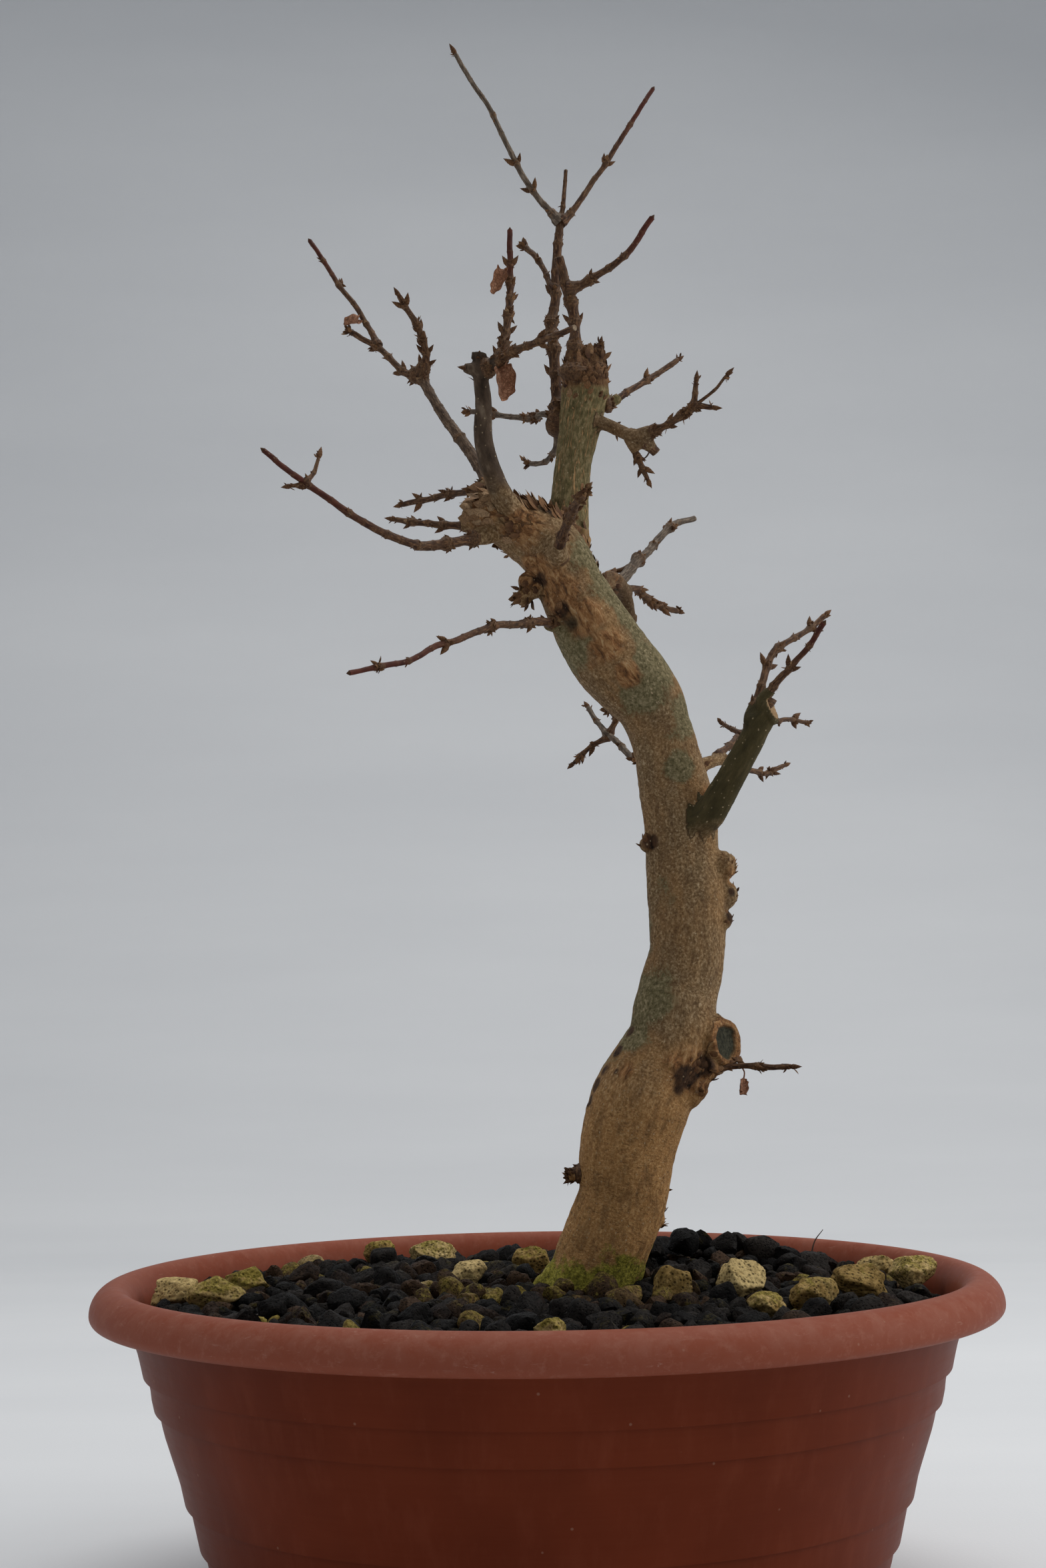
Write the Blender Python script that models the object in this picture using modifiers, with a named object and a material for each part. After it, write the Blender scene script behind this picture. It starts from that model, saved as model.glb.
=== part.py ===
"""Bonsai maple, leafless, standing in gritty substrate in a round plastic bowl.

The pot stands on Z = 0 and is turned about Z. Lengths are millimetres, and MM turns them into
metres. The tree's heights are measured from its soil line, so that it follows the soil.
"""

import math
import random

import bmesh
import bpy
from mathutils import Euler, Vector
from mathutils.bvhtree import BVHTree

MM = 0.001

# Pot, turned. Heights called DROP are measured down from the crest of the rim.
POT_HEIGHT = 92.0
RIM_DIAMETER = 250.0
LIP_ROLL = 7.0
LIP_OVERHANG = 10.5
LIP_DEPTH = 10.0
LIP_EDGE_RADIUS = 2.5
FOOT_DIAMETER = 175.0
FOOT_EDGE_RADIUS = 2.5
FOOT_RING_WIDTH = 9.0
FOOT_RECESS = 1.6
WALL = 2.6
FLOOR_THICKNESS = 3.0
BAND_DROPS = (24.0, 33.0, 58.0, 70.0)
BAND_STEP = 1.0
BAND_FADE = 0.8
DRAIN_COUNT = 6
DRAIN_DIAMETER = 9.0
DRAIN_CIRCLE_DIAMETER = 104.0
POT_STEPS = 60

# Soil and what lies on it.
SOIL_DROP = 9.5
SOIL_CROWN = 3.0
MOUND_HEIGHT = 10.0
MOUND_SPREAD = 30.0
MOUND_PLACE = (48.0, 30.0)
SOIL_RINGS = 7
SOIL_STEPS = 44
CONTACT_GAP = 0.3
WATERING_GAP_SHARE = 0.72
WATERING_GAP_ARC = (60.0, 106.0)

# Tree. Its girth and height stretch the routes below.
SOIL_LINE_DROP = 6.0
TREE_HEIGHT = 361.0
TRUNK_DIAMETER = 24.8
ROOT_COUNT = 5
ROOT_REACH = 42.0
ROOT_FALL = 22.0
ROOT_RADII = (4.5, 1.6)

# Colours are linear RGB.
TERRACOTTA = (0.36, 0.105, 0.055)
BARK = (0.30, 0.20, 0.115)
GRIT = (0.022, 0.018, 0.017)
LAVA = (0.030, 0.026, 0.028)
PUMICE = (0.42, 0.34, 0.13)
DRY_LEAF = (0.42, 0.17, 0.10)
FIBRE = (0.10, 0.06, 0.035)

# The trunk's centre line: x, y, height above the soil line, radius.
TRUNK = (
    (9, 1, -26, 14.5),
    (10, 1, -12, 14.0),
    (12, 0, 0, 12.4),
    (15, 0, 9, 12.6),
    (18, -1, 17, 12.3),
    (21.5, -1, 27, 12.2),
    (23, -1, 40, 13.4),
    (27, -1, 52, 14.2),
    (32, 0, 61, 13.3),
    (36, 0, 70, 11.9),
    (37, 0, 78, 11.6),
    (38.5, 1, 84, 11.2),
    (41, 1, 93, 10.6),
    (41.5, 1, 101, 10.9),
    (41.5, 2, 110, 11.2),
    (40.5, 2, 122, 10.3),
    (40, 1, 132, 10.7),
    (38.5, 1, 140, 10.3),
    (36.5, 0, 150, 9.1),
    (34.5, 0, 158, 9.0),
    (31.5, -1, 165, 9.8),
    (27, -1, 171, 11.0),
    (21, -1, 178, 11.6),
    (16, -2, 186, 11.0),
    (13, -2, 192, 10.2),
    (10, -2, 198, 9.6),
    (7, -3, 205, 9.2),
    (3, -3, 210, 9.4),
    (-3, -4, 214, 8.6),
    (-9, -5, 217.5, 7.2),
    (-14, -5, 219.5, 5.2),
)

# The second leader, which rises behind the trunk's bent head.
LEADER = (
    (7, 2, 206, 8.0),
    (9, 5, 215, 6.4),
    (10, 6, 224, 5.6),
    (11.5, 7, 236, 5.6),
    (13.5, 8, 248, 5.9),
    (15, 8, 257, 6.8),
    (15.5, 8, 262, 5.4),
    (15.5, 8, 266, 3.2),
)

# Branch: parent, radius at its base, radius at its tip, points from base to tip.
# A branch starts on its parent's centre line, at the place nearest to its first point.
BRANCHES = {
    "main_right": (
        "trunk",
        5.2,
        2.7,
        ((46, -7, 131), (51, -12, 138), (56, -17, 147), (61, -21, 156), (64, -23, 160)),
    ),
    "right_tip_a": (
        "main_right",
        1.5,
        0.9,
        ((59, -20, 158), (62, -17, 168), (65, -13, 176), (68, -11, 179), (77, -4, 185), (83, 0, 190)),
    ),
    "right_tip_b": (
        "main_right",
        1.5,
        0.9,
        ((62, -23, 162), (67, -27, 168), (69, -29, 170), (77, -38, 181)),
    ),
    "right_tip_c": ("main_right", 0.9, 0.7, ((66, -17, 157), (69, -13, 158), (76, -5, 158))),
    "low_stub": ("trunk", 6.6, 5.8, ((44, 0, 67), (50, -2, 68.5), (53.5, -3, 69))),
    "low_twig": ("low_stub", 1.1, 0.9, ((52, -4, 62), (63, -8, 62), (69, -11, 62))),
    "right_mid": ("trunk", 2.6, 2.0, ((47, 10, 148), (52, 16, 150), (55, 20, 150))),
    "right_mid_twig": ("right_mid", 1.3, 1.0, ((53, 18, 152), (62, 30, 160), (67, 36, 165))),
    "right_mid_side": ("right_mid_twig", 0.9, 0.8, ((60, 28, 159), (55, 34, 163))),
    "right_mid_rear": (
        "right_mid",
        1.2,
        0.8,
        ((58, 24, 149), (65, 32, 148), (68, 36, 148), (75, 42, 151)),
    ),
    "back_left": ("trunk", 1.4, 1.1, ((28, 10, 150), (21, 26, 159))),
    "back_left_up": ("back_left", 1.0, 0.9, ((20, 27, 160), (15, 36, 169))),
    "back_left_down": ("back_left", 1.1, 0.7, ((20, 27, 158), (16, 30, 156), (10, 35, 151))),
    "back_left_side": ("back_left", 0.9, 0.7, ((22, 26, 161), (23, 27, 164), (21, 30, 167))),
    "rear_right": (
        "trunk",
        2.5,
        1.0,
        ((22, 14, 200), (30, 24, 210), (33, 28, 213), (41, 37, 223), (49, 43, 227)),
    ),
    "rear_right_side": ("rear_right", 0.9, 0.8, ((28, 23, 208), (23, 22, 207))),
    "rear_stub": ("trunk", 2.8, 1.7, ((22, 10, 202), (26, 18, 200), (28, 24, 193))),
    "rear_twig": (
        "rear_stub",
        1.3,
        1.0,
        ((26, 20, 201), (30, 26, 202), (36, 34, 199), (44, 42, 198)),
    ),
    "front_low": (
        "trunk",
        1.7,
        0.8,
        (
            (6, -6, 187),
            (2, -15, 186),
            (-2, -21, 185),
            (-12, -32, 182),
            (-25, -43, 176),
            (-35, -51, 170),
            (-49, -60, 166),
        ),
    ),
    "front_dark": (
        "trunk",
        2.2,
        1.1,
        ((6, -12, 205), (7, -22, 209), (10, -38, 213), (13, -52, 215)),
    ),
    "front_left": (
        "trunk",
        4.0,
        1.7,
        (
            (-2, -6, 214),
            (-5, -10, 217),
            (-10, -17, 223),
            (-14, -23, 235),
            (-14, -27, 246),
            (-15, -29, 255),
            (-15, -30, 259),
        ),
    ),
    "front_left_bud": ("front_left", 1.3, 0.8, ((-15, -29.5, 254), (-19, -32, 254))),
    "front_right": (
        "front_left",
        1.6,
        1.0,
        ((-15, -29, 254), (-11, -31, 255), (-6, -36, 257), (2, -43, 258), (11, -52, 259)),
    ),
    "front_up": (
        "front_right",
        1.5,
        0.9,
        ((-9, -31, 257), (-7, -29, 265), (-6, -27, 275), (-6, -26, 285), (-6, -25, 295)),
    ),
    "left_long": (
        "trunk",
        2.1,
        0.85,
        (
            (-13, -8, 213),
            (-21, -16, 209),
            (-30, -24, 206),
            (-34, -28, 206),
            (-41, -33, 208),
            (-50, -39, 212),
            (-61, -46, 219),
            (-72, -52, 227),
        ),
    ),
    "left_long_bud": ("left_long", 0.8, 0.6, ((-62, -46, 219), (-66, -48, 218))),
    "left_long_twiglet": (
        "left_long",
        0.8,
        0.6,
        ((-61, -46, 220), (-59, -44, 223), (-58, -42, 228)),
    ),
    "left_low": (
        "trunk",
        1.6,
        0.9,
        ((-15, -6, 216), (-26, -4, 216), (-31, -3, 217), (-41, 0, 219)),
    ),
    "left_rear": (
        "trunk",
        2.6,
        1.6,
        ((-12, -3, 222), (-14, 2, 231), (-18, 5, 238), (-24, 9, 248), (-29, 12, 257), (-33, 15, 265)),
    ),
    "left_rear_a": (
        "left_rear",
        1.3,
        1.0,
        ((-33, 15, 265), (-38, 18, 267), (-46, 22, 276), (-55, 26, 282)),
    ),
    "left_rear_tip": (
        "left_rear_a",
        1.1,
        0.8,
        ((-46, 22, 276), (-49, 24, 283), (-58, 28, 297), (-67, 32, 312)),
    ),
    "left_rear_b": (
        "left_rear",
        1.3,
        0.9,
        ((-33, 15, 265), (-31, 12, 271), (-33, 9, 276), (-37, 4, 283), (-39, 2, 286)),
    ),
    "left_mid": (
        "left_rear",
        1.4,
        0.9,
        ((-14, 2, 228), (-21, 8, 228), (-32, 15, 228), (-40, 19, 227)),
    ),
    "left_knob": ("trunk", 2.6, 1.5, ((2, -4, 198), (-2, -5, 196), (-4, -6, 195))),
    "base_knob": ("trunk", 1.8, 1.2, ((12, -2, 33), (7, -2, 33), (4, -3, 32))),
    "shoot_a": ("leader", 2.2, 1.6, ((12, 5, 262), (12, 4, 278), (10, 3, 288), (8, 2, 296))),
    "shoot_a_side": (
        "shoot_a",
        1.6,
        1.0,
        ((12, 3, 287), (17, 2, 289), (27, -2, 295), (35, -5, 305)),
    ),
    "shoot_b": (
        "leader",
        2.3,
        1.4,
        ((8, 12, 250), (7, 17, 257), (6, 19, 278), (7, 20, 291), (8, 21, 306), (9, 21, 314)),
    ),
    "shoot_b_left": (
        "shoot_b",
        1.3,
        0.8,
        ((9, 21, 313), (6, 20, 316), (1, 18, 322), (-5, 15, 331), (-11, 12, 343), (-22, 8, 361)),
    ),
    "shoot_b_mid": ("shoot_b", 0.9, 0.7, ((9, 21, 313), (10, 22, 319), (11, 24, 330))),
    "shoot_b_right": (
        "shoot_b",
        1.3,
        0.8,
        ((9, 21, 313), (13, 22, 317), (23, 25, 333), (38, 29, 357)),
    ),
    "shoot_b_side": ("shoot_b", 0.9, 1.1, ((6, 20, 293), (2, 26, 303), (-2, 30, 309))),
    "back_lateral": (
        "leader",
        1.3,
        0.9,
        ((7, 14, 252), (4, 16, 253), (-1, 24, 254), (-11, 30, 257), (-20, 34, 259)),
    ),
    "back_hook": ("leader", 1.3, 0.9, ((8, 14, 248), (6, 20, 243), (3, 27, 241), (-2, 31, 242))),
    "right_high": ("leader", 1.4, 1.0, ((20, 9, 254), (25, 10, 256), (34, 16, 263), (44, 22, 271))),
    "right_low": ("leader", 2.4, 1.8, ((18, 6, 248), (21, 5, 247), (28, -1, 242), (31, -3, 241))),
    "right_low_a": (
        "right_low",
        1.5,
        0.9,
        ((31, -3, 241), (33, -5, 242), (38, -9, 243), (45, -13, 247), (51, -16, 246)),
    ),
    "right_low_up": ("right_low_a", 0.9, 0.8, ((45, -13, 247), (45.5, -13.5, 250), (46, -14, 255))),
    "right_low_stalk": ("right_low_a", 0.6, 0.5, ((45, -13, 247), (50, -15, 251), (55, -16, 256))),
    "right_low_stub": ("right_low", 1.6, 1.5, ((31, -3, 241), (35, -1, 237))),
    "right_low_drop": ("right_low", 1.4, 0.8, ((28, -2, 241), (29, -2, 237), (33, 2, 229))),
    "leader_stub": ("leader", 1.7, 1.2, ((18, 8, 262), (20, 7, 272))),
}

# Burls and old wounds: x, y, height, and the three half-widths.
BURLS = (
    (-12, -4, 219, 8.5, 6.0, 5.5),
    (51, 0, 118, 4.5, 3.6, 5.0),
    (52.5, 1, 110, 3.4, 3.4, 4.0),
    (50.5, -1, 103, 3.4, 3.4, 3.4),
    (50, -3, 67, 4.5, 5.0, 4.5),
    (45, -2, 58, 6.0, 6.5, 10.0),
)

# Pumice lumps: share of the way to the wall, bearing in degrees from +X, width, depth, height.
PUMICE_LUMPS = (
    (0.98, 182, 13.0, 10.0, 8.0),
    (0.88, 189, 16.5, 10.0, 8.0),
    (0.82, 170, 12.5, 10.0, 8.0),
    (0.94, 121, 11.0, 9.0, 9.0),
    (0.82, 114, 14.5, 9.0, 8.0),
    (0.22, 159, 10.5, 9.0, 8.5),
    (0.54, 337, 14.0, 10.0, 11.5),
    (0.71, 318, 10.0, 8.0, 6.5),
    (0.78, 328, 13.0, 10.0, 9.0),
    (0.83, 348, 14.5, 11.0, 9.5),
    (1.00, 5, 14.0, 11.0, 10.0),
    (1.00, 21, 13.0, 9.0, 7.0),
    (0.80, 270, 8.0, 7.0, 6.0),
    (0.40, 95, 11.5, 9.0, 8.0),
    (0.37, 331, 11.0, 8.0, 8.5),
)

# Lava grains are strewn by the golden angle, and grow a little towards the mound.
LAVA_COUNT = 22
LAVA_WIDTH = 10.0
LAVA_SHARE_RANGE = (0.30, 0.93)
STONE_ROUGHNESS = 0.18
GOLDEN_ANGLE = math.pi * (3.0 - math.sqrt(5.0))

# Dried leaf remnants: the branch they cling to, which of its points, the step off that point,
# width, length, and tilt in degrees.
LEAVES = (
    ("front_up", 2, (-3.4, -1.2, 4.6), 4.5, 8.0, (80, 20, 15)),
    ("front_up", 0, (0.6, -2.2, -7.6), 6.6, 9.6, (84, -12, 30)),
    ("left_rear_a", 3, (1.4, -2.6, 2.0), 3.4, 5.6, (10, 25, 60)),
    ("low_twig", 0, (3.4, -1.2, -5.6), 3.4, 5.6, (70, 25, 20)),
)
LEAF_THICKNESS = 0.5
LEAF_CURL = 0.22

# Thin curved scraps: radius and points. The petiole's heights are above the soil line.
PETIOLE_RADIUS = 0.35
PETIOLE = (
    (31.5, 2.4, 243.6),
    (33.2, 2.4, 242.0),
    (33.6, 2.4, 239.4),
    (32.6, 2.6, 237.0),
    (31.0, 2.6, 235.8),
)
FIBRE_RADIUS = 0.35
FIBRE_SHARE = 0.80
FIBRE_BEARING = 28.0
FIBRE_RISE = ((0.0, 0.0, 0.0), (0.4, 0.0, 5.0), (1.6, 0.4, 9.6), (4.2, 0.8, 13.0))


def material(name, colour, roughness):
    """A plain Principled material."""
    made = bpy.data.materials.new(name)
    made.use_nodes = True
    shader = made.node_tree.nodes["Principled BSDF"]
    shader.inputs["Base Color"].default_value = (*colour, 1.0)
    shader.inputs["Roughness"].default_value = roughness
    shader.inputs["Metallic"].default_value = 0.0
    made.diffuse_color = (*colour, 1.0)
    return made


def collection(name):
    made = bpy.data.collections.new(name)
    bpy.context.scene.collection.children.link(made)
    return made


def smooth(mesh, angle=40.0):
    mesh.shade_smooth()
    mesh.set_sharp_from_angle(angle=math.radians(angle))


def add(name, mesh, home, finish=None):
    """Puts the mesh in the scene as one object."""
    made = bpy.data.objects.new(name, mesh)
    home.objects.link(made)
    if finish is not None:
        mesh.materials.clear()
        mesh.materials.append(finish)
    return made


def helper(made):
    """Marks an object as a cutter or a Boolean's operand."""
    made.hide_render = True
    made.display_type = "WIRE"
    return made


def mesh_from(built, name):
    """Turns a bmesh into a mesh."""
    mesh = bpy.data.meshes.new(name)
    built.to_mesh(mesh)
    built.free()
    return mesh


def evaluated_mesh(made, name):
    """The object's mesh with its modifiers applied, welded; the object is removed."""
    graph = bpy.context.evaluated_depsgraph_get()
    mesh = bpy.data.meshes.new_from_object(made.evaluated_get(graph))
    mesh.name = name
    built = bmesh.new()
    built.from_mesh(mesh)
    bmesh.ops.remove_doubles(built, verts=built.verts, dist=0.00001)
    bmesh.ops.recalc_face_normals(built, faces=built.faces)
    built.to_mesh(mesh)
    built.free()
    data = made.data
    bpy.data.objects.remove(made)
    if isinstance(data, bpy.types.Curve):
        bpy.data.curves.remove(data)
    return mesh


def turned(name, profile, steps, home):
    """A profile of (radius, height) pairs, turned about Z."""
    built = bmesh.new()
    corners = [built.verts.new((radius * MM, 0.0, height * MM)) for radius, height in profile]
    for first, second in zip(corners, corners[1:]):
        built.edges.new((first, second))
    made = add(name, mesh_from(built, name), home)
    screw = made.modifiers.new("turn", "SCREW")
    screw.steps = steps
    screw.render_steps = steps
    screw.use_merge_vertices = True
    screw.merge_threshold = 0.00001
    return made


def arc(centre, radius, start, end, count):
    """Points on an arc in the profile's plane, between two angles in degrees."""
    angles = [math.radians(start + (end - start) * i / count) for i in range(count + 1)]
    return [(centre[0] + radius * math.cos(a), centre[1] + radius * math.sin(a)) for a in angles]


# Pot


def crest_radius():
    """Radius of the rim's highest line."""
    return RIM_DIAMETER / 2 - LIP_ROLL


def neck_radius():
    """Outer radius of the wall where it meets the lip's underside."""
    return RIM_DIAMETER / 2 - LIP_OVERHANG


def wall_radius(height):
    """Outer radius of the tapered wall, without its bands."""
    share = height / (POT_HEIGHT - LIP_DEPTH)
    return FOOT_DIAMETER / 2 + (neck_radius() - FOOT_DIAMETER / 2) * share


def inner_radius(height):
    return wall_radius(height) - WALL


def floor_top():
    return FOOT_RECESS + FLOOR_THICKNESS


def lip_top_profile():
    """Crest and outer side of the rolled lip: a quarter of an ellipse, then a small round edge."""
    crest = crest_radius()
    drop = LIP_DEPTH - LIP_EDGE_RADIUS
    points = []
    for i in range(6):
        angle = math.radians(90 - 18 * i)
        points.append((crest + LIP_ROLL * math.cos(angle), POT_HEIGHT - drop + drop * math.sin(angle)))
    edge = (RIM_DIAMETER / 2 - LIP_EDGE_RADIUS, POT_HEIGHT - drop)
    return points + arc(edge, LIP_EDGE_RADIUS, -30, -90, 2)


def band_profile():
    """The tapered wall's small inward steps, top to bottom."""
    points = []
    for drop in BAND_DROPS:
        height = POT_HEIGHT - drop
        points.append((wall_radius(height) + BAND_STEP / 2, height + BAND_FADE / 2))
        points.append((wall_radius(height) - BAND_STEP / 2, height - BAND_FADE / 2))
    return points


def pot_profile():
    """The whole section, from the middle of the floor over the rim to the underside."""
    lip_under = POT_HEIGHT - LIP_DEPTH
    inside_top = inner_radius(lip_under)
    crest_inner = (inside_top + crest_radius()) / 2
    foot = (FOOT_DIAMETER / 2 - FOOT_EDGE_RADIUS, FOOT_EDGE_RADIUS)
    ring_inner = FOOT_DIAMETER / 2 - FOOT_RING_WIDTH
    inside = [
        (0.0, floor_top()),
        (inner_radius(floor_top()) - FLOOR_THICKNESS, floor_top()),
        (inner_radius(2 * floor_top()), 2 * floor_top()),
        (inside_top, lip_under),
        (crest_inner, POT_HEIGHT - LIP_DEPTH * 0.24),
    ]
    neck = [(wall_radius(lip_under), lip_under)]
    foot_edge = arc(foot, FOOT_EDGE_RADIUS, 0, -90, 2)
    underside = [(ring_inner, 0.0), (ring_inner - FOOT_RECESS, FOOT_RECESS), (0.0, FOOT_RECESS)]
    return inside + lip_top_profile() + neck + band_profile() + foot_edge + underside


def build_pot(parts, cutters):
    pot = turned("pot", pot_profile(), POT_STEPS, parts)
    pot.data.materials.append(material("terracotta_plastic", TERRACOTTA, 0.45))
    drains = collection("drain_cutters")
    for i in range(DRAIN_COUNT):
        angle = 2 * math.pi * i / DRAIN_COUNT
        built = bmesh.new()
        bmesh.ops.create_cone(
            built,
            cap_ends=True,
            segments=16,
            radius1=DRAIN_DIAMETER / 2 * MM,
            radius2=DRAIN_DIAMETER / 2 * MM,
            depth=4 * floor_top() * MM,
        )
        hole = helper(add(f"drain_cutter_{i + 1}", mesh_from(built, "drain_cutter"), drains))
        hole.location = Vector((math.cos(angle), math.sin(angle), 0.0)) * (DRAIN_CIRCLE_DIAMETER / 2 * MM)
    cut = pot.modifiers.new("drain holes", "BOOLEAN")
    cut.operation = "DIFFERENCE"
    cut.operand_type = "COLLECTION"
    cut.collection = drains
    cutters.children.link(drains)
    bpy.context.scene.collection.children.unlink(drains)


# Tree


def soil_line():
    """Height at which the trunk leaves the grit."""
    return POT_HEIGHT - SOIL_LINE_DROP


def stretched(point):
    """A point of a route as a vector in metres, at the tree's real height."""
    stretch = TREE_HEIGHT / max(p[2] for p in BRANCHES["shoot_b_left"][3])
    x, y, height = point[:3]
    return Vector((x * stretch, y * stretch, soil_line() + height * stretch)) * MM


def girth(radius):
    """A radius of the tables, at the trunk's real thickness."""
    return radius * TRUNK_DIAMETER / (2 * TRUNK[2][3])


def nearest_on_route(route, point):
    """The point of a centre line that is nearest to the given one."""
    best = route[0]
    for start, end in zip(route, route[1:]):
        along = end - start
        share = max(0.0, min(1.0, (point - start).dot(along) / along.length_squared))
        spot = start + along * share
        if (spot - point).length < (best - point).length:
            best = spot
    return best


def tube_mesh(name, route, radii, sides):
    """A closed tube of changing radius along a centre line; radii are in millimetres."""
    curve = bpy.data.curves.new(name, "CURVE")
    curve.dimensions = "3D"
    curve.bevel_depth = MM
    curve.bevel_resolution = (sides - 4) // 2
    curve.use_fill_caps = True
    spline = curve.splines.new("POLY")
    spline.points.add(len(route) - 1)
    for spot, place, radius in zip(spline.points, route, radii):
        spot.co = (*place, 1.0)
        spot.radius = radius
    made = add(name, curve, bpy.context.scene.collection)
    return evaluated_mesh(made, name)


def stem_mesh(name, table, sides, grow=0.0):
    """A tube along one of the tables whose rows end in a radius."""
    route = [stretched(row) for row in table]
    radii = [girth(row[3]) + grow for row in table]
    return tube_mesh(name, route, radii, sides)


def root_routes():
    """Roots that spread from the trunk's foot, by equal turns."""
    foot = Vector(TRUNK[1][:3])
    routes = []
    for i in range(ROOT_COUNT):
        angle = 2 * math.pi * (i + 0.3) / ROOT_COUNT
        out = Vector((math.cos(angle), math.sin(angle), 0.0))
        down = Vector((0.0, 0.0, -1.0))
        shares = (0.0, 0.35, 0.7, 1.0)
        routes.append([stretched(foot + out * ROOT_REACH * s + down * ROOT_FALL * s * s) for s in shares])
    return routes


def root_mesh(name, route, grow=0.0):
    first, last = ROOT_RADII
    radii = [girth(first + (last - first) * i / (len(route) - 1)) + grow for i in range(len(route))]
    return tube_mesh(name, route, radii, 8)


def branch_routes():
    """Every branch's centre line, each starting on its parent's."""
    routes = {
        "trunk": [stretched(row) for row in TRUNK],
        "leader": [stretched(row) for row in LEADER],
    }
    for name, (parent, _, _, points) in BRANCHES.items():
        route = [stretched(point) for point in points]
        start = nearest_on_route(routes[parent], route[0])
        if (start - route[0]).length > 0.5 * MM:
            route.insert(0, start)
        else:
            route[0] = start
        routes[name] = route
    return routes


def branch_mesh(name, route):
    _, first, last, _ = BRANCHES[name]
    radii = [girth(first + (last - first) * i / (len(route) - 1)) for i in range(len(route))]
    return tube_mesh(name, route, radii, 8 if first > 2.5 else 6)


def burl_mesh(index, burl):
    x, y, height, *halves = burl
    built = bmesh.new()
    bmesh.ops.create_icosphere(built, subdivisions=2, radius=1.0)
    bmesh.ops.scale(built, vec=[girth(half) * MM for half in halves], verts=built.verts)
    bmesh.ops.translate(built, vec=stretched((x, y, height)), verts=built.verts)
    return mesh_from(built, f"burl_{index}")


def build_tree(parts, cutters):
    """The whole woody plant, grown as one: trunk, leader, branches, burls and roots."""
    trunk = stem_mesh("tree", TRUNK, 12)
    tree = add("tree", trunk, parts, material("maple_bark", BARK, 0.85))
    limbs = collection("tree_limbs")
    helper(add("leader", stem_mesh("leader", LEADER, 10), limbs))
    routes = branch_routes()
    for name in BRANCHES:
        helper(add(name, branch_mesh(name, routes[name]), limbs))
    for i, burl in enumerate(BURLS):
        helper(add(f"burl_{i + 1}", burl_mesh(i + 1, burl), limbs))
    for i, route in enumerate(root_routes()):
        helper(add(f"root_{i + 1}", root_mesh(f"root_{i + 1}", route), limbs))
    grown = tree.modifiers.new("grown together", "BOOLEAN")
    grown.operation = "UNION"
    grown.operand_type = "COLLECTION"
    grown.collection = limbs
    cutters.children.link(limbs)
    bpy.context.scene.collection.children.unlink(limbs)
    smooth(tree.data)


# Soil


def soil_edge_height():
    return POT_HEIGHT - SOIL_DROP


def soil_radius():
    """Radius of the soil where its top meets the wall."""
    return inner_radius(soil_edge_height()) - CONTACT_GAP


def soil_rise(x, y):
    """How far the soil's top stands above its edge, in millimetres."""
    share = min(1.0, math.hypot(x, y) / soil_radius())
    fall = 1.0 - share * share
    away = math.hypot(x - MOUND_PLACE[0], y - MOUND_PLACE[1]) / MOUND_SPREAD
    return fall * (SOIL_CROWN + MOUND_HEIGHT * math.exp(-away * away))


def soil_profile():
    top = [(soil_radius() * i / SOIL_RINGS, soil_edge_height()) for i in range(SOIL_RINGS + 1)]
    bottom = floor_top() + CONTACT_GAP
    turn = 2 * floor_top()
    return top + [
        (inner_radius(turn) - CONTACT_GAP, turn),
        (inner_radius(floor_top()) - FLOOR_THICKNESS - 2 * CONTACT_GAP, bottom),
        (0.0, bottom),
    ]


def build_soil(parts, cutters):
    """The substrate that fills the pot, with the trunk's foot and roots cut out of it."""
    blank = turned("substrate", soil_profile(), SOIL_STEPS, bpy.context.scene.collection)
    mesh = evaluated_mesh(blank, "substrate")
    for vertex in mesh.vertices:
        if vertex.co.z > (soil_edge_height() - 0.01) * MM:
            vertex.co.z += soil_rise(vertex.co.x / MM, vertex.co.y / MM) * MM
    soil = add("substrate", mesh, parts, material("grit", GRIT, 0.95))
    smooth(mesh)
    sockets = collection("root_sockets")
    helper(add("trunk_socket", stem_mesh("trunk_socket", TRUNK[:6], 12, CONTACT_GAP), sockets))
    for i, route in enumerate(root_routes()):
        name = f"root_socket_{i + 1}"
        longer = route + [route[-1] + (route[-1] - route[-2]).normalized() * CONTACT_GAP * MM]
        helper(add(name, root_mesh(name, longer, CONTACT_GAP), sockets))
    cut = soil.modifiers.new("room for the roots", "BOOLEAN")
    cut.operation = "DIFFERENCE"
    cut.operand_type = "COLLECTION"
    cut.collection = sockets
    cutters.children.link(sockets)
    bpy.context.scene.collection.children.unlink(sockets)
    return soil


# Loose stones on the soil


def in_watering_gap(spot, half):
    """Whether a stone here would lie in the clear arc at the back, where water is poured."""
    low, high = WATERING_GAP_ARC
    reach = math.hypot(*spot)
    bearing = math.degrees(math.atan2(spot[1], spot[0]))
    spread = math.degrees(half / max(reach, half))
    return reach + half > WATERING_GAP_SHARE * soil_radius() and low - spread < bearing < high + spread


def is_free(spot, half, taken):
    """Whether a stone of this half-width fits here, inside the wall and clear of the others."""
    if math.hypot(*spot) + half + CONTACT_GAP > soil_radius() or in_watering_gap(spot, half):
        return False
    return all(math.dist(spot, place) > half + other + CONTACT_GAP for place, other in taken)


def free_spot(wanted, half, taken):
    """The free place nearest to the wanted one, searched along a spiral."""
    for step in range(4000):
        reach = 0.6 * math.sqrt(step)
        spot = (
            wanted[0] + reach * math.cos(step * GOLDEN_ANGLE),
            wanted[1] + reach * math.sin(step * GOLDEN_ANGLE),
        )
        if is_free(spot, half, taken):
            taken.append((spot, half))
            return spot
    raise ValueError("no room left on the soil for a stone")


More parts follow.
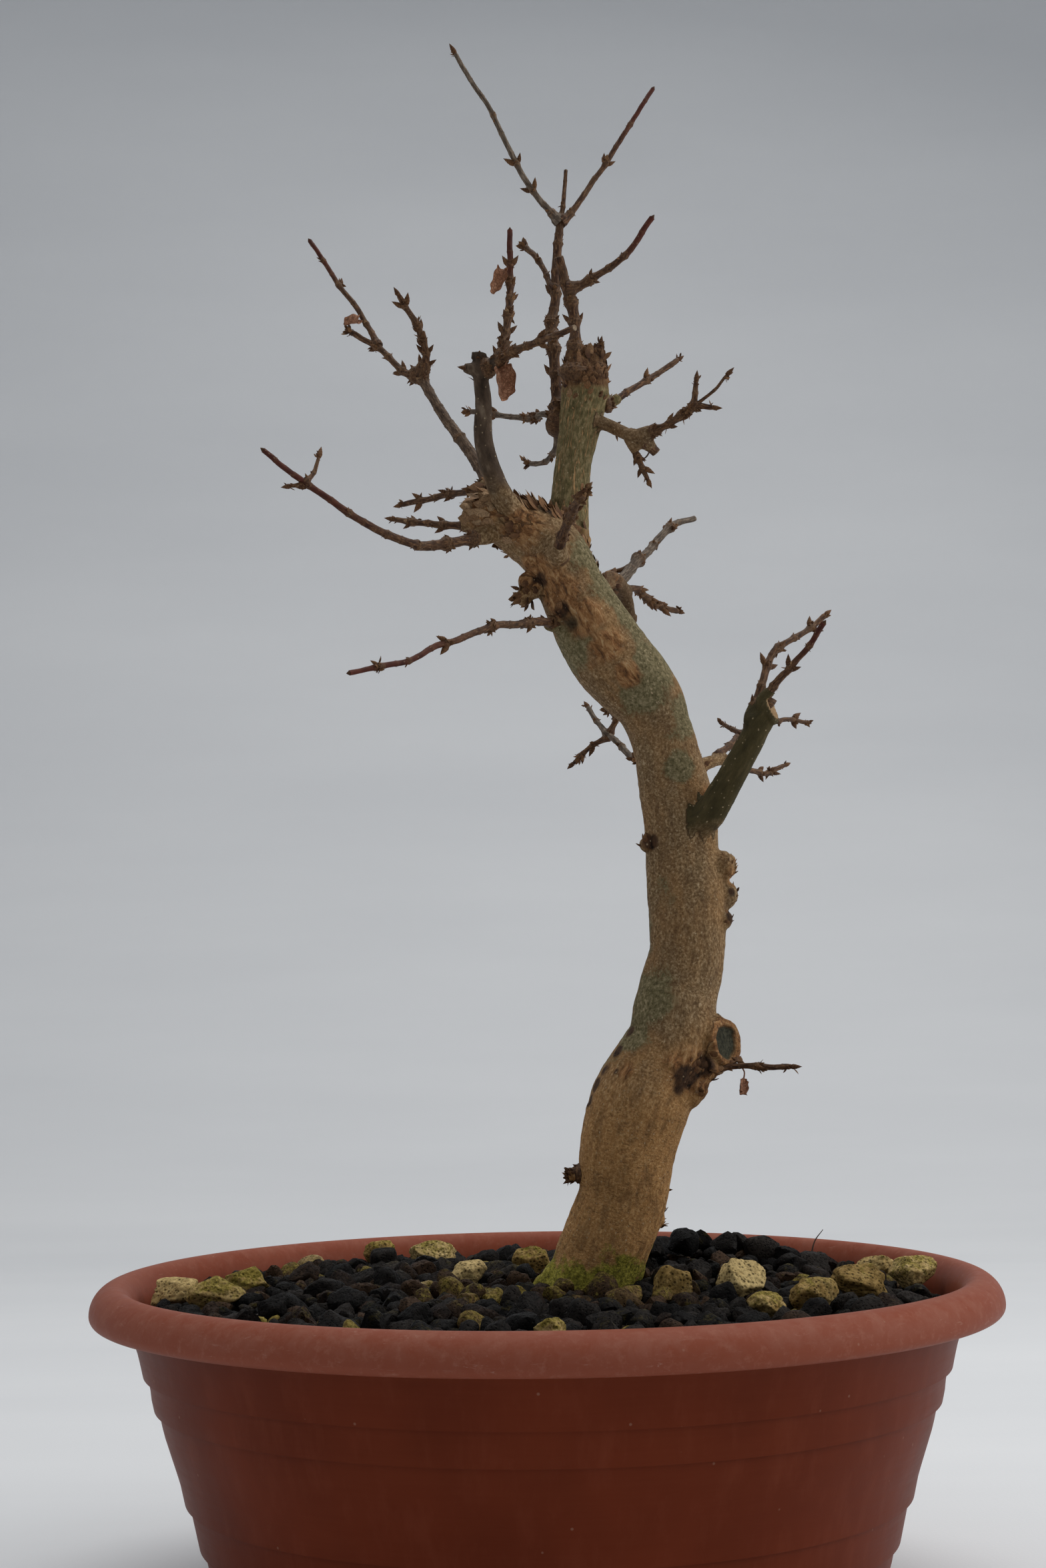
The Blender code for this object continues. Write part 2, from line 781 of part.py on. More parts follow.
def stone_mesh(name, sizes, detail, seed):
    """An angular lump: the hull of a ball's corners, each pushed inwards by its own amount."""
    dice = random.Random(seed)
    ball = bmesh.new()
    bmesh.ops.create_icosphere(ball, subdivisions=detail, radius=0.5)
    corners = [vertex.co * (1.0 - STONE_ROUGHNESS * dice.random()) for vertex in ball.verts]
    ball.free()
    built = bmesh.new()
    for corner in corners:
        built.verts.new(corner)
    hull = bmesh.ops.convex_hull(built, input=built.verts)
    bmesh.ops.delete(built, geom=list(set(hull["geom_interior"])), context="VERTS")
    bmesh.ops.scale(built, vec=[size * MM for size in sizes], verts=built.verts)
    turn = Euler((dice.uniform(-0.3, 0.3), dice.uniform(-0.3, 0.3), 0.0)).to_matrix()
    bmesh.ops.rotate(built, matrix=turn, verts=built.verts)
    bmesh.ops.recalc_face_normals(built, faces=built.faces)
    return mesh_from(built, name)


def rest_on(mesh, place, ground):
    """Moves the stone over its place and down until it stands just clear of the ground."""
    high = 1.0
    lift = -high
    for vertex in mesh.vertices:
        x, y = vertex.co.x + place[0] * MM, vertex.co.y + place[1] * MM
        hit = ground.ray_cast(Vector((x, y, high)), Vector((0.0, 0.0, -1.0)))[0]
        if hit is not None:
            lift = max(lift, hit.z - vertex.co.z)
    shift = Vector((place[0] * MM, place[1] * MM, lift + CONTACT_GAP * MM))
    for vertex in mesh.vertices:
        vertex.co += shift


def polar(share, bearing, half):
    """A place on the soil, by its share of the way to where it would touch the wall."""
    reach = share * (soil_radius() - half - 2 * CONTACT_GAP)
    return (reach * math.cos(math.radians(bearing)), reach * math.sin(math.radians(bearing)))


def build_stones(parts, ground):
    """Pumice lumps where they are named, then lava grains in the room that is left."""
    line = stretched(TRUNK[2]) / MM
    taken = [((line.x + 1.5, line.y), TRUNK_DIAMETER / 2 + 2.0)]
    pale = material("mossy_pumice", PUMICE, 0.9)
    dark = material("black_lava", LAVA, 0.85)
    for i, (share, bearing, *sizes) in enumerate(PUMICE_LUMPS):
        half = max(sizes[:2]) / 2
        spot = free_spot(polar(share, bearing, half), half, taken)
        mesh = stone_mesh(f"pumice_lump_{i + 1:02d}", sizes, 2, 100 + i)
        rest_on(mesh, spot, ground)
        add(mesh.name, mesh, parts, pale)
    low, high = LAVA_SHARE_RANGE
    for i in range(LAVA_COUNT):
        share = low + (high - low) * math.sqrt((i + 0.5) / LAVA_COUNT)
        width = LAVA_WIDTH * (0.9 + 0.05 * (i % 5))
        wanted = polar(share, math.degrees(i * GOLDEN_ANGLE), width / 2)
        spot = free_spot(wanted, width / 2, taken)
        mesh = stone_mesh(f"lava_grain_{i + 1:02d}", (width, width * 0.85, width * 0.8), 1, 200 + i)
        rest_on(mesh, spot, ground)
        add(mesh.name, mesh, parts, dark)


# Dead scraps


def leaf_mesh(name, width, length):
    """A curled scrap of leaf: an open grid bent across and along."""
    built = bmesh.new()
    bmesh.ops.create_grid(built, x_segments=4, y_segments=5, size=0.5)
    for vertex in built.verts:
        x, y = vertex.co.x, vertex.co.y
        taper = 1.0 - 1.1 * y * y
        curl = LEAF_CURL * (4 * x * x + 0.8 * math.sin(5.0 * y))
        vertex.co = Vector((x * width * taper, y * length, curl * width)) * MM
    return mesh_from(built, name)


def build_leaves(parts):
    finish = material("dry_leaf", DRY_LEAF, 0.8)
    for i, (branch, index, step, width, length, tilt) in enumerate(LEAVES):
        name = f"dried_leaf_{i + 1}"
        leaf = add(name, leaf_mesh(name, width, length), parts, finish)
        leaf.location = stretched(BRANCHES[branch][3][index]) + Vector(step) * MM
        leaf.rotation_euler = [math.radians(angle) for angle in tilt]
        skin = leaf.modifiers.new("thickness", "SOLIDIFY")
        skin.thickness = LEAF_THICKNESS * MM
        skin.offset = 0.0
        smooth(leaf.data)


def build_scraps(parts, ground):
    """A dry leaf stalk that hangs by the leader, and one stray fibre on the soil."""
    finish = material("dry_fibre", FIBRE, 0.8)
    hook = [stretched(point) for point in PETIOLE]
    stalk = tube_mesh("dry_petiole", hook, [PETIOLE_RADIUS] * len(hook), 8)
    add("dry_petiole", stalk, parts, finish)
    x, y = polar(FIBRE_SHARE, FIBRE_BEARING, FIBRE_RADIUS)
    hit = ground.ray_cast(Vector((x * MM, y * MM, 1.0)), Vector((0.0, 0.0, -1.0)))[0]
    start = hit + Vector((0.0, 0.0, 2 * CONTACT_GAP * MM))
    route = [start + Vector(point) * MM for point in FIBRE_RISE]
    fibre = tube_mesh("stray_fibre", route, [FIBRE_RADIUS] * len(route), 8)
    add("stray_fibre", fibre, parts, finish)


def clear_scene():
    for made in list(bpy.data.objects):
        bpy.data.objects.remove(made)


def ground_of(soil):
    """A tree of the soil's faces, before the roots are cut out of it."""
    mesh = soil.data
    return BVHTree.FromPolygons([v.co for v in mesh.vertices], [p.vertices[:] for p in mesh.polygons])


def main():
    clear_scene()
    parts = collection("potted_bonsai")
    cutters = collection("cutters")
    build_pot(parts, cutters)
    build_tree(parts, cutters)
    soil = build_soil(parts, cutters)
    ground = ground_of(soil)
    build_stones(parts, ground)
    build_leaves(parts)
    build_scraps(parts, ground)


main()
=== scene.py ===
"""A leafless bonsai maple in a round plastic bowl: its looks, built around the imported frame.

The tables are in millimetres, and MM turns them into metres. Heights in the tree's tables are
measured from the soil line.
"""

import math
import random

import bmesh
import bpy
import numpy as np
from mathutils import Euler, Matrix, Vector
from mathutils.bvhtree import BVHTree
from mathutils.kdtree import KDTree


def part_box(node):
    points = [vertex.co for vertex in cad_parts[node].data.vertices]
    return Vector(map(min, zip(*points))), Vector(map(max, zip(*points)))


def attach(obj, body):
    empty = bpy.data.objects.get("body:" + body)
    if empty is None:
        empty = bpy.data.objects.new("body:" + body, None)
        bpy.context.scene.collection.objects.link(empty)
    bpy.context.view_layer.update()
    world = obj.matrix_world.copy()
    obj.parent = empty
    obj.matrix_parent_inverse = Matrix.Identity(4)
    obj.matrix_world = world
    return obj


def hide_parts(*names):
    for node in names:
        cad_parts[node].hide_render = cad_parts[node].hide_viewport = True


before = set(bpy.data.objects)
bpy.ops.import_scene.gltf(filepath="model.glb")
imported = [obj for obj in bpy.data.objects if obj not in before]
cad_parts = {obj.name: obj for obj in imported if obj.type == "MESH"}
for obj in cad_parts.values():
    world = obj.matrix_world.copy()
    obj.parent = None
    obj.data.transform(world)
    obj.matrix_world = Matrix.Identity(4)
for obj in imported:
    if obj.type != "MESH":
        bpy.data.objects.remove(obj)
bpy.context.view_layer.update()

MM = 0.001
POT_LOW, POT_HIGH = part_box("pot")
RIM_RADIUS = (POT_HIGH.x - POT_LOW.x) / 2 / MM
POT_TOP = POT_HIGH.z / MM
SOIL_LINE = POT_TOP - 6.0

# The trunk's centre line: x, y, height above the soil line, radius.
TRUNK = (
    (9, 1, -26, 14.5),
    (10, 1, -12, 14.0),
    (12, 0, 0, 12.4),
    (15, 0, 9, 12.6),
    (18, -1, 17, 12.3),
    (21.5, -1, 27, 12.2),
    (23, -1, 40, 13.4),
    (27, -1, 52, 14.2),
    (32, 0, 61, 13.3),
    (36, 0, 70, 11.9),
    (37, 0, 78, 11.6),
    (38.5, 1, 84, 11.2),
    (41, 1, 93, 10.6),
    (41.5, 1, 101, 10.9),
    (41.5, 2, 110, 11.2),
    (40.5, 2, 122, 10.3),
    (40, 1, 132, 10.7),
    (38.5, 1, 140, 10.3),
    (36.5, 0, 150, 9.1),
    (34.5, 0, 158, 9.0),
    (31.5, -1, 165, 9.8),
    (27, -1, 171, 11.0),
    (21, -1, 178, 11.6),
    (16, -2, 186, 11.0),
    (13, -2, 192, 10.2),
    (10, -2, 198, 9.6),
    (7, -3, 205, 9.2),
    (3, -3, 210, 9.4),
    (-3, -4, 214, 8.6),
    (-9, -5, 217.5, 7.2),
    (-14, -5, 219.5, 5.2),
)
# The second leader, which rises from the bent head: as the trunk.
LEADER = (
    (7, 2, 206, 8.0),
    (9, 5, 215, 6.4),
    (10, 6, 224, 5.6),
    (11.5, 7, 236, 5.6),
    (13.5, 8, 248, 6.3),
    (15, 8, 257, 7.3),
    (15.5, 8, 262, 6.2),
    (15.5, 8, 266, 4.2),
)

# Branch: parent, radius at its base, radius at its tip, points from base to tip.
BRANCHES = {
    "main_right": (
        "trunk", 5.2, 2.7, ((46, -7, 131), (51, -12, 138), (56, -17, 147), (61, -21, 156), (64, -23, 160))
    ),
    "right_tip_a": (
        "main_right",
        1.5,
        0.9,
        ((59, -20, 158), (62, -17, 168), (65, -13, 176), (68, -11, 179), (77, -4, 185), (83, 0, 190)),
    ),
    "right_tip_b": ("main_right", 1.5, 0.9, ((62, -23, 162), (67, -27, 168), (69, -29, 170), (77, -38, 181))),
    "right_tip_c": ("main_right", 0.9, 0.7, ((66, -17, 157), (69, -13, 158), (76, -5, 158))),
    "low_stub": ("trunk", 6.6, 5.8, ((44, 0, 67), (50, -2, 68.5), (53.5, -3, 69))),
    "low_twig": ("trunk", 1.1, 0.9, ((44, -4, 61), (52, -5, 62), (63, -8, 62), (69, -11, 62))),
    "right_mid": ("trunk", 2.6, 2.0, ((47, 10, 148), (52, 16, 150), (55, 20, 150))),
    "right_mid_twig": ("right_mid", 1.3, 1.0, ((53, 18, 152), (62, 30, 160), (67, 36, 165))),
    "right_mid_side": ("right_mid_twig", 0.9, 0.8, ((60, 28, 159), (55, 34, 163))),
    "right_mid_rear": ("right_mid", 1.2, 0.8, ((58, 24, 149), (65, 32, 148), (68, 36, 148), (75, 42, 151))),
    "back_left": ("trunk", 1.4, 1.1, ((28, 10, 150), (21, 26, 159))),
    "back_left_up": ("back_left", 1.0, 0.9, ((20, 27, 160), (15, 36, 169))),
    "back_left_down": ("back_left", 1.1, 0.7, ((20, 27, 158), (16, 30, 156), (10, 35, 151))),
    "back_left_side": ("back_left", 0.9, 0.7, ((22, 26, 161), (23, 27, 164), (21, 30, 167))),
    "rear_right": (
        "trunk", 2.5, 1.0, ((22, 14, 200), (30, 24, 210), (33, 28, 213), (41, 37, 223), (49, 43, 227))
    ),
    "rear_right_side": ("rear_right", 0.9, 0.8, ((28, 23, 208), (23, 22, 207))),
    "rear_stub": ("trunk", 2.8, 1.7, ((22, 10, 202), (26, 18, 200), (28, 24, 193))),
    "rear_twig": ("rear_stub", 1.3, 1.0, ((26, 20, 201), (30, 26, 202), (36, 34, 199), (44, 42, 198))),
    "front_low": (
        "trunk",
        1.7,
        0.8,
        (
            (6, -6, 187), (2, -15, 186), (-2, -21, 185), (-12, -32, 182), (-25, -43, 176), (-35, -51, 170),
            (-49, -60, 166),
        ),
    ),
    "front_dark": ("trunk", 2.2, 1.1, ((6, -12, 205), (7, -22, 209), (10, -38, 213), (13, -52, 215))),
    "front_left": (
        "trunk",
        4.0,
        1.7,
        (
            (-2, -6, 214), (-5, -10, 217), (-10, -17, 223), (-14, -23, 235), (-14, -27, 246), (-15, -29, 255),
            (-15, -30, 259),
        ),
    ),
    "front_left_bud": ("front_left", 1.3, 0.8, ((-15, -29.5, 254), (-19, -32, 254))),
    "front_right": (
        "front_left",
        1.6,
        1.0,
        ((-15, -29, 254), (-11, -31, 255), (-6, -36, 257), (2, -43, 258), (11, -52, 259)),
    ),
    "front_up": (
        "front_right",
        1.5,
        0.9,
        ((-9, -31, 257), (-7, -29, 265), (-6, -27, 275), (-6, -26, 285), (-6, -25, 295)),
    ),
    "left_long": (
        "trunk",
        2.1,
        0.85,
        (
            (-13, -8, 213),
            (-21, -16, 209),
            (-30, -24, 206),
            (-34, -28, 206),
            (-41, -33, 208),
            (-50, -39, 212),
            (-61, -46, 219),
            (-72, -52, 227),
        ),
    ),
    "left_long_bud": ("left_long", 0.8, 0.6, ((-62, -46, 219), (-66, -48, 218))),
    "left_long_twiglet": ("left_long", 0.8, 0.6, ((-61, -46, 220), (-59, -44, 223), (-58, -42, 228))),
    "left_low": ("trunk", 1.6, 0.9, ((-15, -6, 216), (-26, -4, 216), (-31, -3, 217), (-41, 0, 219))),
    "left_rear": (
        "trunk",
        2.6,
        1.6,
        ((-12, -3, 222), (-14, 2, 231), (-18, 5, 238), (-24, 9, 248), (-29, 12, 257), (-33, 15, 265)),
    ),
    "left_rear_a": ("left_rear", 1.3, 1.0, ((-33, 15, 265), (-38, 18, 267), (-46, 22, 276), (-55, 26, 282))),
    "left_rear_tip": (
        "left_rear_a", 1.1, 0.8, ((-46, 22, 276), (-49, 24, 283), (-58, 28, 297), (-67, 32, 312))
    ),
    "left_rear_b": (
        "left_rear", 1.3, 0.9, ((-33, 15, 265), (-31, 12, 271), (-33, 9, 276), (-37, 4, 283), (-39, 2, 286))
    ),
    "left_mid": ("left_rear", 1.4, 0.9, ((-14, 2, 228), (-21, 8, 228), (-32, 15, 228), (-40, 19, 227))),
    "left_knob": ("trunk", 2.8, 2.2, ((2, -4, 198), (-2, -5, 196.5), (-3.5, -5.5, 195.5))),
    "base_knob": ("trunk", 1.5, 1.1, ((12, -2, 33), (8.5, -2.5, 33), (6.5, -3, 32.5))),
    "shoot_a": ("leader", 2.2, 1.6, ((12, 5, 262), (12, 4, 278), (10, 3, 288), (8, 2, 296))),
    "shoot_a_side": ("shoot_a", 1.6, 1.0, ((12, 3, 287), (17, 2, 289), (27, -2, 295), (35, -5, 305))),
    "shoot_b": (
        "leader",
        2.3,
        1.4,
        ((8, 12, 250), (7, 17, 257), (6, 19, 278), (7, 20, 291), (8, 21, 306), (9, 21, 314)),
    ),
    "shoot_b_left": (
        "shoot_b",
        1.3,
        0.8,
        ((9, 21, 313), (6, 20, 316), (1, 18, 322), (-5, 15, 331), (-11, 12, 343), (-22, 8, 361)),
    ),
    "shoot_b_mid": ("shoot_b", 0.9, 0.7, ((9, 21, 313), (10, 22, 319), (11, 24, 330))),
    "shoot_b_right": ("shoot_b", 1.3, 0.8, ((9, 21, 313), (13, 22, 317), (23, 25, 333), (38, 29, 357))),
    "shoot_b_side": ("shoot_b", 0.9, 1.1, ((6, 20, 293), (2, 26, 303), (-2, 30, 309))),
    "back_lateral": (
        "leader", 1.3, 0.9, ((7, 14, 252), (4, 16, 253), (-1, 24, 254), (-11, 30, 257), (-20, 34, 259))
    ),
    "back_hook": ("leader", 1.3, 0.9, ((8, 14, 248), (6, 20, 243), (3, 27, 241), (-2, 31, 242))),
    "right_high": ("leader", 1.4, 1.0, ((20, 9, 254), (25, 10, 256), (34, 16, 263), (44, 22, 271))),
    "right_low": ("leader", 2.4, 1.8, ((18, 6, 248), (21, 5, 247), (28, -1, 242), (31, -3, 241))),
    "right_low_a": (
        "right_low", 1.5, 0.9, ((31, -3, 241), (33, -5, 242), (38, -9, 243), (45, -13, 247), (51, -16, 246))
    ),
    "right_low_up": ("right_low_a", 0.9, 0.8, ((45, -13, 247), (45.5, -13.5, 250), (46, -14, 255))),
    "right_low_stalk": ("right_low_a", 0.6, 0.5, ((45, -13, 247), (50, -15, 251), (55, -16, 256))),
    "right_low_stub": ("right_low", 1.6, 1.5, ((31, -3, 241), (35, -1, 237))),
    "right_low_drop": ("right_low", 1.4, 0.8, ((28, -2, 241), (29, -2, 237), (33, 2, 229))),
    "leader_stub": ("leader", 1.7, 1.2, ((18, 8, 262), (20, 7, 272))),
}

# These grow out of the trunk without a seam; the others are separate twigs.
STOUT = ("main_right", "low_stub", "right_mid", "rear_stub", "front_left", "left_knob", "right_low")
LIMBS = ("trunk", "leader", *STOUT)

# Swellings on the wood: x, y, height, and half their size along each axis.
BURLS = (
    (-12, -4, 219, 8.5, 6.0, 5.5),
    (51, 0, 118, 4.6, 4.2, 4.9),
    (52.3, 1, 110, 3.8, 3.8, 4.2),
    (50.6, -1, 103, 3.6, 3.6, 3.4),
    (50, -3, 67, 4.5, 5.0, 4.5),
    (44.2, -3, 62.5, 4.4, 5.6, 5.0),
    (40.5, -3, 57, 5.0, 6.0, 7.0),
    (46.5, -2.5, 70, 5.4, 6.4, 7.4),
    (17, -1, 47, 4.0, 5.0, 6.0),
    (27.5, -1, 66, 2.6, 5.0, 6.0),
    (-2.2, -5, 199, 3.0, 3.0, 3.2),
    (-3.6, -5.5, 194.8, 2.6, 2.8, 2.4),
    (15.2, -2, 50, 3.8, 4.4, 4.4),
    (30.4, -2, 124.5, 2.3, 2.6, 2.3),
    (31.2, -1.5, 20.5, 1.9, 2.4, 2.4),
)

# The root flare's ridges: the way each points in degrees, its reach, its thickness.
FLARE = (
    (188, 17, 5.0), (232, 15, 5.2), (285, 15, 4.6), (335, 16, 5.0), (30, 16, 5.2), (95, 16, 5.0),
    (140, 17, 5.2),
)

# Where the bark is torn and reddish: x, y, height, reach.
WOUNDS = (
    (-13, -8, 220, 7),
    (-4, -10, 214, 7),
    (-1, -10, 201, 6),
    (6.8, -11, 195, 7),
    (12.5, -12, 187, 7),
    (19, -12, 180, 6),
    (25, -12, 172, 4),
    (5, 0, 219, 6),
    (14, 2, 211, 5),
    (41, -11, 61, 7),
    (47, -6, 57, 6),
    (54, 0, 117, 4),
    (31, -4, 125, 2.5),
    (49, -6, 137, 5),
    (27, 9, 150, 4),
    (20, 10, 201, 6),
    (22, -12, 62, 3),
    (15.5, 8, 263, 8),
)
# Where algae tint the bark greenish grey: x, y, height, reach.
ALGAE = (
    (14, -4, 205, 8),
    (22, -5, 197, 8),
    (30, -6, 189, 8),
    (37, -4, 180, 8),
    (33, -8, 175, 8),
    (19, -8, 201, 6),
    (27, -8, 192, 6),
    (8.7, -9, 182, 9),
    (6, -3, 177, 8),
    (29, -9, 166, 7),
    (43, -6, 160, 7),
    (40, -9, 146, 5),
    (28, -9, 82, 9),
    (24, -6, 72, 7),
    (30, -12, 110, 7),
    (20, 9, 60, 12),
    (38, 12, 100, 14),
    (30, 10, 165, 12),
)
# Where the bark is stained dark: x, y, height, reach.
STAINS = (
    (24.6, -3.5, 72, 2.3),
    (21.5, -4.5, 66.5, 2.3),
    (18.5, -4.5, 61, 2.3),
    (15.5, -4, 57, 2.4),
    (12.6, -3.5, 53.2, 2.2),
    (28.9, -10, 76.5, 1.5),
    (19.5, -10, 61.6, 1.5),
    (40, -12, 59.5, 4.6),
    (44.5, -9, 61.5, 4.0),
    (38, -13, 56, 2.6),
    (31, -5, 125, 2.2),
    (54, -2, 104, 2.4),
    (54, -3, 111, 1.6),
    (48, -9, 130, 2.6),
    (6.5, -12, 190, 3.2),
    (1, -9, 199, 2.4),
    (-9, -8, 213, 2.6),
    (4, -7, 219, 3.0),
    (11, -4, 213, 2.4),
    (36.5, -4, 17, 3.0),
)
# Sawn faces: a point, the way it faces, its reach, and its mark.
CUTS = (
    ((50.6, -3.4, 68.8), (0.78, -0.61, 0.10), 7.4, "dark_cut_and_hollow_shade"),
    ((54.3, -2.2, 118.2), (0.86, -0.50, 0.05), 2.8, "pale_cut"),
    ((64.6, -23.4, 158.6), (0.86, -0.36, 0.36), 4.6, "pale_cut"),
    ((-15, -30, 258.8), (0.05, -0.1, 1.0), 3.4, "dark_cut_and_hollow_shade"),
    ((28.4, 24.4, 192.4), (0.2, 0.6, -0.75), 3.0, "pale_cut"),
)
# A cut that reaches further than this has a torn rim.
BIG_CUT = 7.0
# The hollow in the bark: its place, reach and depth. It is dented and painted nearly black as painted shade.
HOLE = ((8.3, -12.2, 186.2), 2.9, 3.4)

# What sits along each twig: share of the way along, and n for a node's ring, b for a pair of
# buds, c for a scruffy cluster of scales and buds.
ALONG = {
    "shoot_a": ((0.06, "c"), (0.18, "c"), (0.34, "c"), (0.52, "b"), (0.66, "c"), (0.80, "n")),
    "shoot_a_side": ((0.22, "c"), (0.42, "n"), (0.60, "n")),
    "shoot_b": (
        (0.08, "c"), (0.20, "c"), (0.34, "b"), (0.44, "c"), (0.50, "c"), (0.56, "c"), (0.68, "b"),
        (0.89, "n"),
    ),
    "shoot_b_left": ((0.06, "n"), (0.21, "b"), (0.37, "b"), (0.63, "n")),
    "shoot_b_mid": ((0.30, "n"),),
    "shoot_b_right": ((0.08, "n"), (0.46, "b"), (0.74, "n")),
    "shoot_b_side": ((0.30, "n"), (0.60, "n")),
    "back_lateral": ((0.25, "c"), (0.42, "c"), (0.52, "c"), (0.78, "b")),
    "back_hook": ((0.30, "n"), (0.60, "n"), (0.77, "n")),
    "right_high": ((0.20, "c"), (0.40, "n"), (0.63, "b")),
    "right_low": ((0.60, "n"), (0.83, "n")),
    "right_low_a": ((0.20, "c"), (0.39, "b"), (0.56, "c"), (0.66, "c"), (0.75, "c")),
    "right_low_up": ((0.50, "n"),),
    "right_low_stalk": (),
    "right_low_stub": (),
    "right_low_drop": ((0.27, "n"), (0.50, "c"), (0.72, "b")),
    "front_dark": ((0.20, "n"), (0.38, "b"), (0.60, "c"), (0.72, "b"), (0.88, "c")),
    "front_left_bud": (),
    "front_right": ((0.10, "c"), (0.22, "c"), (0.36, "c"), (0.50, "n"), (0.63, "b"), (0.80, "n")),
    "front_up": ((0.08, "c"), (0.16, "c"), (0.25, "b"), (0.38, "c"), (0.50, "b"), (0.62, "c"), (0.76, "b")),
    "left_rear": ((0.12, "c"), (0.22, "c"), (0.55, "n"), (0.97, "c")),
    "left_rear_a": ((0.08, "c"), (0.22, "b"), (0.45, "n"), (0.63, "c")),
    "left_rear_tip": ((0.20, "n"), (0.57, "b"), (0.80, "n")),
    "left_rear_b": ((0.12, "c"), (0.28, "b"), (0.42, "c"), (0.58, "c"), (0.84, "b")),
    "left_mid": ((0.22, "c"), (0.46, "c"), (0.62, "n"), (0.78, "b")),
    "left_low": ((0.30, "c"), (0.50, "b"), (0.64, "n"), (0.80, "c")),
    "left_long": ((0.16, "c"), (0.28, "c"), (0.40, "n"), (0.52, "n"), (0.66, "n"), (0.83, "b")),
    "left_long_bud": (),
    "left_long_twiglet": ((0.45, "n"),),
    "left_knob": (),
    "front_low": ((0.16, "n"), (0.30, "c"), (0.46, "c"), (0.65, "b"), (0.80, "n"), (0.90, "c")),
    "rear_right": ((0.34, "n"), (0.55, "c"), (0.70, "n"), (0.84, "c")),
    "rear_right_side": (),
    "rear_twig": ((0.35, "c"), (0.50, "c"), (0.63, "c"), (0.74, "b")),
    "back_left": ((0.40, "n"), (0.70, "n")),
    "back_left_up": ((0.50, "n"),),
    "back_left_down": ((0.40, "b"), (0.72, "c")),
    "back_left_side": ((0.50, "c"),),
    "right_tip_a": ((0.14, "c"), (0.26, "n"), (0.40, "b"), (0.56, "c"), (0.70, "n"), (0.84, "b")),
    "right_tip_b": ((0.25, "n"), (0.48, "b"), (0.75, "n")),
    "right_tip_c": ((0.35, "n"), (0.70, "b")),
    "low_twig": ((0.10, "n"), (0.45, "n"), (0.73, "c")),
    "right_mid_twig": ((0.30, "n"), (0.50, "n"), (0.69, "b")),
    "right_mid_side": ((0.50, "n"),),
    "right_mid_rear": ((0.30, "n"), (0.55, "b"), (0.78, "c")),
    "base_knob": ((0.80, "c"),),
    "leader_stub": ((0.40, "c"), (0.75, "n")),
}
# How twigs end: k in a cut, r in a red young tip, x in a tuft of scales, the others in a bud.
ENDS = {
    "k": (
        "shoot_a", "shoot_b", "shoot_b_mid", "right_low_stub", "front_right", "rear_right", "back_left",
        "left_rear",
    ),
    "r": (
        "shoot_a_side", "shoot_b_right", "right_tip_b", "front_up", "left_long", "front_low", "left_rear_tip"
    ),
    "x": (
        "shoot_b_side", "back_lateral", "back_hook", "front_dark", "base_knob", "left_rear_a",
        "back_left_side",
    ),
}
# Twigs of dead or old grey wood.
GREY_TWIGS = ("rear_right", "shoot_b_left", "back_lateral", "back_hook", "back_left", "back_left_up")

# Torn bark: a place, its reach, how many scales, their length and tone, the way they lie.
TORN = (
    ((-12, -7, 222), 7.0, 34, 4.6, 0.88, (-0.9, -0.1, 0.1)),
    ((-4, -7, 220), 6.5, 34, 4.2, 0.60, (-0.9, -0.1, 0.1)),
    ((4, -3, 217), 6.5, 34, 4.2, 0.50, (-0.8, 0.1, 0.5)),
    ((12, 1, 207), 5.0, 12, 3.2, 0.42, (-0.6, 0.0, 0.75)),
    ((-13, -7, 220), 6.5, 30, 3.6, 0.80, (-0.9, -0.1, 0.3)),
    ((-6, -8, 215), 6.0, 22, 3.0, 0.50, (-0.9, -0.1, 0.3)),
    ((0, 0, 221), 6.0, 26, 3.4, 0.70, (-0.7, 0.0, 0.6)),
    ((10, 0, 212), 6.0, 22, 2.8, 0.40, (-0.6, 0.0, 0.7)),
    ((18, 0, 203), 5.0, 16, 2.4, 0.32, (-0.5, 0.0, 0.8)),
    ((15.5, 8, 264), 7.5, 120, 2.8, 0.40, (0.1, 0.0, 1.0)),
    ((15, 6, 258), 7.0, 40, 2.2, 0.50, (0.1, 0.0, 1.0)),
    ((54, -2, 119), 3.6, 16, 1.5, 0.80, (0.1, -0.4, 0.9)),
    ((54.5, 0, 111), 4.0, 14, 1.3, 0.40, (0.4, -0.2, 0.8)),
    ((53, -1, 103), 3.6, 12, 1.3, 0.40, (0.4, -0.2, 0.8)),
    ((44, -9, 60), 6.0, 26, 2.2, 0.55, (0.7, -0.3, 0.3)),
    ((54, -3, 62), 3.5, 16, 2.2, 0.45, (0.8, -0.3, -0.2)),
    ((-3, -6, 195), 4.5, 26, 2.6, 0.35, (-0.8, -0.3, -0.1)),
    ((5, -12, 188), 3.6, 16, 2.4, 0.30, (-0.5, -0.6, 0.1)),
    ((-12, -2, 224), 4.5, 16, 2.6, 0.45, (-0.2, 0.2, 0.9)),
    ((30, -3, 125), 2.4, 8, 1.8, 0.40, (-0.4, -0.2, 0.8)),
    ((8.4, -3, 33), 3.2, 20, 1.7, 0.25, (-0.9, -0.3, 0.1)),
    ((31.6, -1.5, 20.6), 2.8, 12, 1.8, 0.40, (0.6, -0.2, 0.7)),
    ((20, 11, 202), 5.0, 16, 2.2, 0.45, (0.4, 0.8, 0.3)),
    ((27, 9, 150), 3.6, 10, 2.0, 0.45, (-0.4, 0.8, 0.3)),
    ((46, 8, 148), 3.8, 14, 2.0, 0.5, (0.5, 0.7, 0.2)),
    ((-8, -3, 209), 4.5, 10, 2.2, 0.5, (-0.7, 0.0, -0.4)),
)
